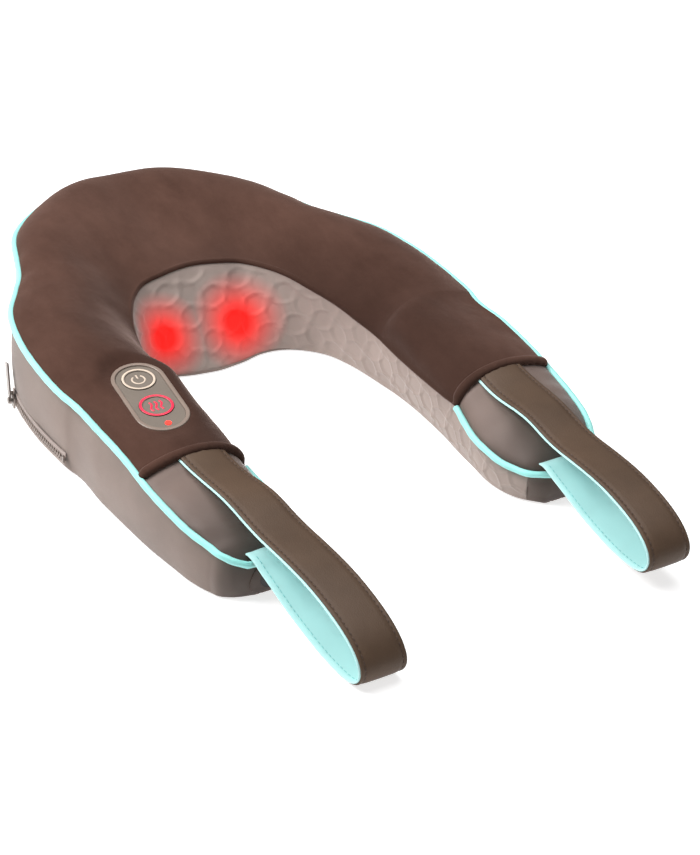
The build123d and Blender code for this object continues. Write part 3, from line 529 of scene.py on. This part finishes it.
AQUA_THREAD = woven("aqua_thread", (0.22, 0.55, 0.55), 0.7, 1500, 0.0001)


def paint_cad():
    """Every CAD node takes the material of its slot."""
    slots = {entry["node"]: entry["material_slot"] for entry in frame["record"]["subparts"]}
    for node, obj in frame["nodes"].items():
        obj.data.materials.clear()
        obj.data.materials.append(MATERIALS[slots[node]])


# ---------------------------------------------------------------- sewn skins
def dents(point, size, seed):
    """Soft unevenness from -1 to 1 at a point."""
    return noise.noise(Vector(point) / size + Vector((seed, 0, 0)))


def cover_grid(where, columns):
    """Outer surface of the top, tucked under at both edges to meet the walls."""
    shares = [(1 - cos(pi * k / (columns - 1))) / 2 for k in range(columns)]
    rows = []
    for s in where:
        r0, z0 = crown(s, 0)
        full = smoothstep((-s - FULLER_START[0]) / FULLER_START[1])
        full *= smoothstep((FULLER_END[0] + s) / FULLER_END[1])
        line = [(r0 - 3.0, z0 - 3.4), (r0 + 0.2, z0 - 2.6), (r0 + 0.9, z0 - 1.2)]
        for u in shares:
            r, z = crown(s, u)
            inner = smoothstep((u - 0.4) / 0.5)
            puff = smoothstep(u / 0.78) * smoothstep((1.02 - u) / 0.2)
            rise = FULLER_UP * puff - FULLER_DOWN * inner
            line.append((r - FULLER_IN * full * inner, z + full * rise))
        r1, z1 = line[-1]
        line += [(r1 - 0.7, z1 - 1.0), (r1 + 0.3, z1 - 2.4), (r1 + 3.0, z1 - 3.4)]
        rows.append([tuple(place(s, r, z)) for r, z in line])
    return np.array(rows)


def top_ring(node, out):
    """Middle of the highest ring of a node, along out, in millimetres."""
    spots = [v.co / MM for v in frame["nodes"][node].data.vertices]
    high = max(p.dot(out) for p in spots)
    rim = [p for p in spots if p.dot(out) > high - 0.02]
    low = Vector([min(p[k] for p in rim) for k in range(3)])
    top = Vector([max(p[k] for p in rim) for k in range(3)])
    return (low + top) / 2


def pad_frame():
    """Lower middle of the key pad's rim, and its directions: along, across and out."""
    presses = {joint["child"]: Vector(joint["axis"]) for joint in frame["joints"]}
    out = -presses["power_key"].normalized()
    ex = (top_ring("heat_button", out) - top_ring("power_button", out)).normalized()
    ey = out.cross(ex).normalized()
    spots = [v.co / MM for v in frame["nodes"]["control_bezel"].data.vertices]
    middle = Vector((0, 0, 0))
    for axis in (ex, ey):
        reach = [p.dot(axis) for p in spots]
        middle += axis * (min(reach) + max(reach)) / 2
    return middle + out * min(p.dot(out) for p in spots), ex, ey, out


def hug_pad(grid):
    """Lays the cover against the rim of the key pad, and tells which points lie inside the rim."""
    middle, ex, ey, out = pad_frame()
    inside = np.zeros(grid.shape[:2], bool)
    for i in range(grid.shape[0]):
        for j in range(3, grid.shape[1] - 3):
            spot = Vector(grid[i, j]) - middle
            if spot.length > PAD_REACH:
                continue
            x, y, height = spot.dot(ex), spot.dot(ey), spot.dot(out)
            beyond = sqrt(max(abs(x) - (PAD_L - PAD_W) / 2, 0) ** 2 + y * y) - PAD_W / 2
            inside[i, j] = beyond < -PAD_HOLE_IN
            keep = smoothstep(beyond / PAD_EASE)
            target = PAD_LAP if beyond > -0.4 else PAD_TUCK
            grid[i, j] += np.array(out) * (target - height) * (1 - keep)
    return inside


def make_top_cover():
    grid = cover_grid(spread(-HEM, HEM, 420), 60)
    out = normals(grid)
    out *= np.sign(out[:, 30:31, 2:3])
    for i in range(grid.shape[0]):
        s = -HEM + 2 * HEM * i / (grid.shape[0] - 1)
        for j in range(3, grid.shape[1] - 3):
            share = (j - 3) / (grid.shape[1] - 7)
            rim = smoothstep(share * 8) * smoothstep((1 - share) * 8)
            point = grid[i, j]
            push = 0.9 * dents(point, 46, 3) + 0.35 * dents(point, 15, 9)
            pinch = exp(-((abs(s) - 0.43) / 0.09) ** 2) * exp(-share / 0.16)
            push += pinch * sin(point[1] / 4.5)
            grid[i, j] += out[i, j] * push * rim
    inside = hug_pad(grid).reshape(-1)
    obj = sheet_piece("top_cover_cloth", grid, MATERIALS["velour"], COVER_T, flip=True, hole=inside)
    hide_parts("top_cover")


def make_end_cap(side):
    sign = SIDES[side]
    grid = cover_grid([sign * s for s in end_stations(HEM + 0.01, 90)], 60)
    front = grid[-1].copy()
    closing = []
    for drop, back in ((1.0, -0.6), (2.2, -0.2), (3.2, 1.6), (3.6, 3.2)):
        row = front.copy()
        row[:, 1] += back
        row[:, 2] -= drop
        closing.append(row)
    grid = np.concatenate([grid, np.array(closing)])
    out = normals(grid)
    out *= np.sign(out[:, 30:31, 2:3])
    for i in range(grid.shape[0] - 5):
        for j in range(3, grid.shape[1] - 3):
            share = (j - 3) / (grid.shape[1] - 7)
            rim = smoothstep(share * 6) * smoothstep((1 - share) * 6) * smoothstep(i / 8)
            point = grid[i, j]
            crease = noise.noise(Vector((point[0] / 34 + point[1] / 60, point[1] / 13, 5 + sign)))
            grid[i, j] += out[i, j] * rim * (1.2 * crease + 0.7 * dents(point, 22, 4))
    obj = sheet_piece(f"{side}_end_cap_cloth", grid, MATERIALS["cap_cloth"], COVER_T, flip=sign < 0)
    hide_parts(f"{side}_end_cap")


def posts(stations, outer):
    """Upright lines of a wall, its foot and its edge at each station."""
    made = []
    for s in stations:
        if outer:
            edge = place(s, *[column(OUTER_EDGE, s, k) for k in (1, 2)])
            foot = place(s, column(OUTER_EDGE, s, 1) - column(OUTER_INSET, s, 1), 0)
        else:
            edge = place(s, *[column(INNER_EDGE, s, k) for k in (1, 2)])
            foot = place(s, column(INNER_FOOT, s, 1), 0)
        made.append((foot, edge))
    return made


def end_posts(sign, count=16):
    """Across the end of an arm, from its outer to its inner corner."""
    start, end = posts([sign * END], True)[0], posts([sign * END], False)[0]
    shares = [(k + 1) / (count + 1) for k in range(count)]
    return [(start[0].lerp(end[0], t), start[1].lerp(end[1], t)) for t in shares]


def with_outward(lines, left):
    """Adds each post's horizontal way out of the body, to the left or right of the run."""
    tops = [edge for _, edge in lines]
    done = []
    for k, (foot, edge) in enumerate(lines):
        along = tops[min(k + 1, len(tops) - 1)] - tops[max(k - 1, 0)]
        out = Vector((-along.y, along.x, 0)).normalized() * (1 if left else -1)
        done.append((foot, edge, out))
    return done


def wall_grid(lines, columns, bulge=BULGE):
    """From under the bottom edge up to under the seam at the top."""
    rows = []
    for foot, edge, out in lines:
        row = [foot - out * 4.0 + Vector((0, 0, 0.9)), foot - out * 1.6 + Vector((0, 0, 0.9))]
        for k in range(columns):
            t = k / (columns - 1)
            z = 1.6 + (edge.z - 3.0) * t
            share = z / edge.z
            spot = foot.lerp(Vector((edge.x, edge.y, 0)), share) + out * bulge * sin(pi * share)
            spot.z = z
            row.append(spot - out * 0.5 * exp(-z / 1.2))
        row.append(Vector((edge.x, edge.y, edge.z - 1.0)) - out * 2.0)
        rows.append([tuple(p) for p in row])
    return np.array(rows)


def outer_run():
    """Posts of the side band: round the left arm's end, along the outside and round the right end."""
    corner = list(reversed(end_stations(2.7, 40)))
    seam = spread(NECK_SEAM, END, 12)[:-1]
    lines = posts([-s for s in seam], False) + list(reversed(end_posts(-1)))
    lines += posts([-s for s in corner], True)
    lines += posts(spread(-2.7, 2.7, 420)[1:-1], True)
    lines += posts(list(reversed(corner)), True)
    lines += end_posts(1) + posts(list(reversed(seam)), False)
    return with_outward(lines, left=True)


def inner_run():
    """Posts of the neck panel, from one arm's end to the other's."""
    return with_outward(posts(spread(-NECK_SEAM, NECK_SEAM, 620), False), left=False)


def make_side_band():
    grid = wall_grid(outer_run(), 26)
    out = normals(grid, flip=True)
    for i in range(grid.shape[0]):
        for j in range(3, grid.shape[1] - 2):
            share = (j - 3) / (grid.shape[1] - 5)
            rim = smoothstep(share * 5) * smoothstep((1 - share) * 5)
            grid[i, j] += out[i, j] * rim * 0.8 * dents(grid[i, j], 38, 7)
    obj = sheet_piece("side_band_cloth", grid, MATERIALS["side_cloth"], BAND_T)
    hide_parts("side_band")
    return grid.reshape(-1, 3)


def petals(a, b):
    """Height of the embossed flowers, whose plump petals each join two corners of a square grid."""
    p, q = a * cos(PATTERN_TURN) + b * sin(PATTERN_TURN), b * cos(PATTERN_TURN) - a * sin(PATTERN_TURN)
    along, across = (p + q) / sqrt(2), (q - p) / sqrt(2)
    pitch = PETAL_R * sqrt(2)
    height = 0.0
    for u, v in ((along, across), (across, along)):
        u = (u / pitch) % 1 - 0.5
        v = (v / pitch + 0.5) % 1 - 0.5
        round_it = sqrt((u / PETAL_SHAPE[0]) ** 2 + (v / PETAL_SHAPE[1]) ** 2)
        groove = exp(-((round_it - 1.06) / 0.085) ** 2)
        height += smoothstep((1.0 - round_it) / 0.35) - 0.75 * groove
    return height


def make_neck_panel():
    lines = inner_run()
    grid = wall_grid(lines, 62)
    out = normals(grid)
    middle = lengths([foot.lerp(edge, 0.5) for foot, edge, _ in lines])
    middle -= middle[-1] / 2
    for i in range(grid.shape[0]):
        up = lengths(grid[i, 2:-1])
        for j in range(3, grid.shape[1] - 2):
            share = (j - 3) / (grid.shape[1] - 5)
            rim = smoothstep(share * 9) * smoothstep((1 - share) * 9)
            height = petals(middle[i], up[j - 2] - up[-1] / 2 - PETAL_R / 2)
            grid[i, j] += out[i, j] * rim * (PETAL_H * height + 0.4 * dents(grid[i, j], 30, 2))
    obj = sheet_piece("neck_panel_cloth", grid, MATERIALS["neck_cloth"], BAND_T, flip=True)
    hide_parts("neck_panel")


def make_bottom_panel():
    """Underside cloth between the two feet, with a shallow raised line 7 mm in from each edge."""
    ends = end_stations(2.7, 14)
    where = [-s for s in reversed(ends)] + spread(-2.7, 2.7, 260)[1:-1] + ends
    columns = 40
    rows = []
    for (outer, _), (inner, _) in zip(posts(where, True), posts(where, False)):
        row = []
        for k in range(columns):
            t = k / (columns - 1)
            spot = outer.lerp(inner, t)
            rim = min(t, 1 - t) * (outer - inner).length
            line = exp(-((rim - 7) / 0.8) ** 2)
            spot.z = 0.25 + 1.1 * exp(-rim / 1.5) + 0.35 * line
            row.append(tuple(spot))
        rows.append(row)
    obj = sheet_piece("bottom_panel_cloth", np.array(rows), MATERIALS["base_cloth"], -BAND_T)
    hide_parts("bottom_panel")


def seam_points(out_by, drop):
    """Along the top seam from the left hem's inner end round to the right hem's."""
    inner = spread(HEM + 0.03, 2.8, 50) + end_stations(2.81, 30)
    lines = posts([-s for s in inner], False) + list(reversed(end_posts(-1, 10)))
    lines += posts([-s for s in reversed(end_stations(2.7, 40))], True)
    lines += posts(spread(-2.69, 2.69, 420), True)
    lines += posts(end_stations(2.7, 40), True) + end_posts(1, 10) + posts(list(reversed(inner)), False)
    down = Vector((0, 0, drop))
    return [edge + out * out_by - down for _, edge, out in with_outward(lines, left=True)]


def make_piping():
    points = seam_points(PIPING_OUT, PIPING_DROP)
    run = lengths(points)
    rings = []
    for k in range(len(points)):
        swell = 1 + 0.025 * sin(run[k] / 2.1) + 0.03 * noise.noise(Vector((run[k] / 9, 0, 0)))
        rings.append([(x * swell, y * swell) for x, y in circle(PIPING_R, 18)])
    obj = tube_piece("piping_cord", points, rings, MATERIALS["piping_cord"])
    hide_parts("piping")
    flange = seam_points(0.5, 1.9)
    strip = [[(-1.6, -0.3), (1.4, -0.3), (1.4, 0.3), (-1.6, 0.3)]] * len(flange)
    obj = tube_piece("piping_flange", flange, strip, MATERIALS["piping_cord"])


def make_hem(side):
    """The cover's rolled edge, gathered by the stitches behind it."""
    sign = SIDES[side]
    shares = [-0.015 + 1.03 * k / 149 for k in range(150)]
    line = []
    for u in shares:
        r, z = crown(HEM, min(max(u, 0), 1))
        over = max(-u, u - 1, 0) * 76
        line.append(place(sign * HEM, r + (over if u < 0 else -over), z + 1.7 - 1.9 * over))
    run = lengths(line)
    rings = []
    for k in range(len(line)):
        ends = smoothstep(min(run[k], run[-1] - run[k]) / 5)
        ring = []
        for x, y in circle(1.0, 20):
            behind = max(x * -sign, 0)
            gather = 0.32 * behind * (0.5 + 0.5 * cos(2 * pi * run[k] / HEM_STITCH))
            size = (HEM_R - gather) * (0.72 + 0.28 * ends)
            ring.append((x * size, y * size * 0.88))
        rings.append(ring)
    obj = tube_piece(f"{side}_hem_roll", line, rings, MATERIALS["velour"])
    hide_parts(f"{side}_hem")
    back = [Vector(p) + Vector((0, 4.4, -0.6)) for p in line[4:-4]]
    ups = [Vector((0, 0, 1))] * len(back)
    make_stitches(f"{side}_hem_stitches", back, ups, 3.6, HEM_STITCH, 0.35, THREAD)


def make_stitches(name, points, ups, length, pitch, radius, material, body=BODY):
    """Short raised threads along a line."""
    run = lengths(points)
    verts, faces = [], []
    sides = 6
    count = int((run[-1] - length) / pitch)

    def spot(distance):
        k = min(int(np.searchsorted(run, distance)), len(run) - 1)
        k = max(k, 1)
        t = (distance - run[k - 1]) / max(run[k] - run[k - 1], 1e-9)
        return Vector(points[k - 1]).lerp(Vector(points[k]), t), Vector(ups[k])

    for n in range(count):
        start = n * pitch + 0.5 * (pitch - length)
        base = len(verts)
        for m in range(5):
            here, up = spot(start + length * m / 4)
            ahead, _ = spot(start + length * m / 4 + 0.5)
            along = (ahead - here).normalized()
            across = along.cross(up).normalized()
            size = radius * (0.45, 0.9, 1.0, 0.9, 0.45)[m]
            lift = up * (radius * (-0.5, 0.25, 0.5, 0.25, -0.5)[m])
            for q in range(sides):
                angle = 2 * pi * q / sides
                verts.append(here + lift + across * size * cos(angle) + up * size * sin(angle))
        for m in range(4):
            for q in range(sides):
                a, b = base + m * sides + q, base + m * sides + (q + 1) % sides
                faces.append((a, b, b + sides, a + sides))
        faces.append(tuple(base + q for q in reversed(range(sides))))
        faces.append(tuple(base + 4 * sides + q for q in range(sides)))
    return piece(name, verts, faces, material, body)


# ---------------------------------------------------------------- straps
def cap_top(x, y):
    s = 1 - y / ARM_STEP
    r0, r1 = column(OUTER_EDGE, s, 1), column(INNER_EDGE, s, 1)
    return crown(s, min(max((r0 - x) / (r0 - r1), 0), 1))[1]


def strap_x(side, y):
    share = (STRAP_HEM_Y - y) / (STRAP_HEM_Y - STRAP_TIP_Y)
    return STRAP_HEM_X + (STRAP_TIP_X[side] - STRAP_HEM_X) * share


def strap_path(side):
    """Middle line of the strap in Y and Z: over the cap, out, round the tip and back to the end."""
    over_cap = []
    for k in range(12):
        y = STRAP_START_Y + (STRAP_BASE_END_Y - STRAP_START_Y) * k / 11
        crest = max(cap_top(strap_x(side, y) + d, y) for d in (-17, -9, 0, 9, 17))
        run_off = STRAP_PIVOT[1] + (STRAP_BASE_END_Y - y) * -0.06
        clear = STRAP_LOW_CLEAR + (STRAP_CLEAR - STRAP_LOW_CLEAR) * smoothstep((-100 - y) / 14)
        over_cap.append((y, max(crest + clear, run_off if y < -150 else 0)))
    rise = STRAP_LIFT[side] / (STRAP_PIVOT[0] - STRAP_TIP_Y)
    loop = [(y, z + rise * max(STRAP_PIVOT[0] - 4 - y, 0)) for y, z in STRAP_LOOP]
    rough = smooth_path(over_cap + loop + list(STRAP_TAIL), 10)
    run = lengths(rough)
    even = np.linspace(0, run[-1], int(run[-1] / 1.6))
    spots = np.array(rough)
    line = np.stack([np.interp(even, run, spots[:, 0]), np.interp(even, run, spots[:, 1])], axis=1)
    # The upper run is eased into one even curve, and the way back hardly at all.
    for turn in range(120):
        eased = 0.25 * line[:-2] + 0.5 * line[1:-1] + 0.25 * line[2:]
        near = line[1:-1, 0] > (-205 if turn > 2 else -400)
        upper = np.arange(1, len(line) - 1) < len(line) / 2
        line[1:-1] = np.where((near & (upper | (turn < 3)))[:, None], eased, line[1:-1])
    taut = np.arange(len(line)) < len(line) / 2
    rise, middle, reach = STRAP_TAUT
    line[:, 1] += np.where(taut, rise * np.exp(-((line[:, 0] - middle) / reach) ** 2), 0)
    return line


def strap_frames(side):
    """Middle point and outward direction of each step of the strap."""
    line = strap_path(side)
    along = np.gradient(line, axis=0)
    along /= np.linalg.norm(along, axis=1, keepdims=True)
    sign = SIDES[side]
    frames = []
    for (y, z), (dy, dz) in zip(line, along):
        frames.append((Vector((sign * strap_x(side, y), NECK_Y + y, z)), Vector((0, dz, -dy))))
    return frames


def on_strap(step, w, h):
    """A point across the strap, which follows the curve of the cap where it leaves the hem."""
    spot, out = step
    y = spot.y - NECK_Y
    laid = smoothstep((y + 170) / 72)
    droop = 0.0
    if laid > 0:
        crest = max(cap_top(abs(spot.x) + d, y) for d in (-17, -9, 0, 9, 17))
        droop = min(cap_top(abs(spot.x + w), y) - crest, 0) * laid
    return spot + Vector((w, 0, droop)) + out * h


def strap_band(name, side, profile, material, nodes):
    """A closed cross-section of (across, out) points, drawn along the strap."""
    grid = np.array([[tuple(on_strap(step, w, h)) for w, h in profile] for step in strap_frames(side)])
    rows, columns = grid.shape[:2]
    faces = grid_faces(rows, columns, wrap_columns=True)
    faces += [tuple(reversed(range(columns))), tuple(range((rows - 1) * columns, rows * columns))]
    obj = piece(name, grid.reshape(-1, 3), faces, material, body=None)
    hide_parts(*nodes)
    flex(obj)
    return obj


def flex(obj):
    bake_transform(obj)


def make_strap(side):
    half = STRAP_W / 2
    groove = half - 3.2
    top = [(-half, 0.35), (-half + 0.25, 0.95), (-half + 1.1, 1.35), (-groove - 0.9, 1.3),
           (-groove, 0.85), (-groove + 0.9, 1.4), (-groove + 4, 1.65)]
    under = [(half - 0.1, 0.0), (-half + 0.1, 0.0)]
    profile = top + [(0, 1.75)] + [(-w, h) for w, h in reversed(top)] + under
    strap_band(f"{side}_strap_leather", side, profile, MATERIALS["strap_leather"],
               (f"{side}_strap_base", f"{side}_strap_loop"))
    lip = half + 1.0
    low = [(-lip, -0.25), (-lip - 0.15, -0.75), (-lip + 0.3, -1.2), (-groove, -1.1), (0, -1.3),
           (groove, -1.1), (half - 0.2, -1.2), (half + 0.05, -0.75), (half - 0.05, -0.1), (-half, -0.02)]
    strap_band(f"{side}_strap_lining_tape", side, low, MATERIALS["strap_lining"],
               (f"{side}_strap_base_lining", f"{side}_strap_loop_lining"))
    frames = strap_frames(side)
    ups = [out for _, out in frames]
    for edge, w in (("outer", groove), ("inner", -groove)):
        points = [on_strap(step, w, 1.0) for step in frames]
        obj = make_stitches(f"{side}_strap_{edge}_stitches", points, ups, 2.9, 4.0, 0.36,
                            THREAD, body=None)
        flex(obj)
        points = [on_strap(step, w, -1.2) for step in frames]
        obj = make_stitches(f"{side}_lining_{edge}_stitches", points, [-u for u in ups], 2.9, 4.0, 0.3,
                            AQUA_THREAD, body=None)
        flex(obj)


# ---------------------------------------------------------------- key pad
def ribbon(name, lines, width, height, material, body, origin, axes):
    """Flat raised lines on a key: each a list of (x, y) in the key's own plane."""
    ex, ey, ez = axes
    verts, faces = [], []
    for line, closed in lines:
        count = len(line)
        base = len(verts)
        for k, (x, y) in enumerate(line):
            before = line[(k - 1) % count] if closed or k else line[0]
            after = line[(k + 1) % count] if closed or k < count - 1 else line[-1]
            dx, dy = after[0] - before[0], after[1] - before[1]
            size = sqrt(dx * dx + dy * dy)
            nx, ny = -dy / size * width / 2, dx / size * width / 2
            for side, level in ((1, 0.0), (0.8, height), (-0.8, height), (-1, 0.0)):
                verts.append(origin + ex * (x + nx * side) + ey * (y + ny * side) + ez * level)
        for k in range(count if closed else count - 1):
            a, b = base + 4 * k, base + 4 * ((k + 1) % count)
            faces += [(a + n, a + (n + 1) % 4, b + (n + 1) % 4, b + n) for n in range(4)]
        if not closed:
            last = base + 4 * (count - 1)
            faces += [tuple(base + n for n in reversed(range(4))), tuple(last + n for n in range(4))]
    return piece(name, verts, faces, material, body)


def arc(radius, start, end, count):
    return [(radius * cos(radians(start + (end - start) * k / count)),
             radius * sin(radians(start + (end - start) * k / count))) for k in range(count + 1)]


def make_key_marks():
    _, ex, ey, out = pad_frame()
    power, heat = top_ring("power_button", out), top_ring("heat_button", out)
    plane = (ex, ey, out)
    ring = [(arc(KEY_RING_R, 0, 360, 72)[:-1], True)]
    ribbon("power_ring", ring, 1.7, 0.22, BEIGE, "power_key", power - out * 0.02, plane)
    ribbon("heat_ring", ring, 1.9, 0.22, RED, "heat_key", heat - out * 0.02, plane)
    icon = [(arc(4.4, 215, 505, 40), False), ([(-5.4, 0), (-0.6, 0)], False)]
    ribbon("power_icon", icon, 1.25, KEY_MARK, BEIGE, "power_key", power - out * 0.52, plane)
    waves = []
    for y in (-3.6, 0.0, 3.6):
        wave = [(-4.8 + 9.6 * k / 24, y + 0.95 * sin(2 * pi * k / 24)) for k in range(25)]
        waves.append((wave, False))
    ribbon("heat_icon", waves, 1.45, KEY_MARK, RED, "heat_key", heat - out * 0.52, plane)


def soften_cad():
    """Rounded edges on the moulded and metal pieces that show."""
    for node, width in (("key_plate", 0.3), ("zipper_slider", 0.35), ("zipper_pull", 0.4),
                        ("jack_bezel", 0.4), ("zipper_stops", 0.3)):
        bevel = frame["nodes"][node].modifiers.new("rounded", "BEVEL")
        bevel.width = width * MM
        bevel.segments = 2
        bevel.limit_method = "ANGLE"


def make_jack_seam(wall):
    """The curved opening seam of the side band beside the jack, laid on the band's own points."""
    end_wall = wall[wall[:, 1] < NECK_Y + END_Y + 1]
    middle_x, middle_z, half_w, half_h = JACK_SEAM
    points = []
    for k in range(25):
        angle = radians(100 + 120 * k / 24)
        x = middle_x + half_w * cos(angle)
        z = middle_z + half_h * sin(angle)
        gap = np.hypot(end_wall[:, 0] - x, end_wall[:, 2] - z)
        near = np.argsort(gap)[:6]
        points.append(Vector((x, end_wall[near, 1].mean() - 0.1, z)))
    obj = tube_piece("jack_seam", points, [circle(0.4, 8)] * len(points), THREAD, level=(0, 1, 0))


# ---------------------------------------------------------------- stage
CAMERA_AZIMUTH = -36.116
CAMERA_ELEVATION = 31.305
CAMERA_ROLL = 4.989
CAMERA_DISTANCE = 1789.7
CAMERA_SHIFT = (55.55, -7.24)       # across and up, from the arcs' centre
CAMERA_LENS = 105.4


def make_camera():
    az, el, roll = (radians(v) for v in (CAMERA_AZIMUTH, CAMERA_ELEVATION, CAMERA_ROLL))
    right = Vector((cos(az), sin(az), 0))
    back = Vector((sin(az) * cos(el), -cos(az) * cos(el), sin(el)))
    up = back.cross(right)
    across = right * cos(roll) + up * sin(roll)
    high = up * cos(roll) - right * sin(roll)
    data = bpy.data.cameras.new("camera")
    data.lens = CAMERA_LENS
    data.sensor_width = 36
    data.clip_end = 20
    camera = bpy.data.objects.new("camera", data)
    bpy.context.scene.collection.objects.link(camera)
    spot = Vector((0, NECK_Y, 0)) + back * CAMERA_DISTANCE
    spot += across * CAMERA_SHIFT[0] + high * CAMERA_SHIFT[1]
    turn = Matrix((across, high, back)).transposed().to_4x4()
    camera.matrix_world = Matrix.Translation(spot * MM) @ turn
    bpy.context.scene.camera = camera


def area_light(name, spot, target, size, power, colour=(1, 1, 1)):
    data = bpy.data.lights.new(name, "AREA")
    data.shape = "DISK"
    data.size = size
    data.energy = power
    data.color = colour
    obj = bpy.data.objects.new(name, data)
    bpy.context.scene.collection.objects.link(obj)
    obj.location = spot
    obj.rotation_euler = (Vector(target) - Vector(spot)).to_track_quat("-Z", "Y").to_euler()


def make_stage():
    size = 9000
    corners = [(-size, -size, 0), (size, -size, 0), (size, size, 0), (-size, size, 0)]
    m = Nodes("pale_floor", 0.9)
    m.colour(m.ramp(m.noise(3, 3), (0.3, (0.6, 0.6, 0.6)), (0.7, (0.63, 0.63, 0.63))))
    m.shader.inputs["Emission Color"].default_value = (1, 1, 1, 1)
    m.shader.inputs["Emission Strength"].default_value = 0.72
    ground = piece("floor", corners, [(0, 1, 2, 3)], m.material, body=None)
    world = bpy.data.worlds.new("studio")
    world.use_nodes = True
    world.node_tree.nodes["Background"].inputs["Color"].default_value = (1, 1, 1, 1)
    world.node_tree.nodes["Background"].inputs["Strength"].default_value = 0.17
    bpy.context.scene.world = world
    area_light("key", (-1.5, 0.9, 1.9), (0, 0, 0), 1.5, 84)
    area_light("top", (0.3, 0.2, 2.4), (0, 0, 0), 2.2, 46)
    bpy.context.scene.view_settings.view_transform = "Standard"


make_camera()
paint_cad()
make_top_cover()
side_wall = make_side_band()
make_neck_panel()
make_bottom_panel()
make_piping()
for side_name in SIDES:
    make_end_cap(side_name)
    make_hem(side_name)
    make_strap(side_name)
make_key_marks()
soften_cad()
make_jack_seam(side_wall)
make_stage()
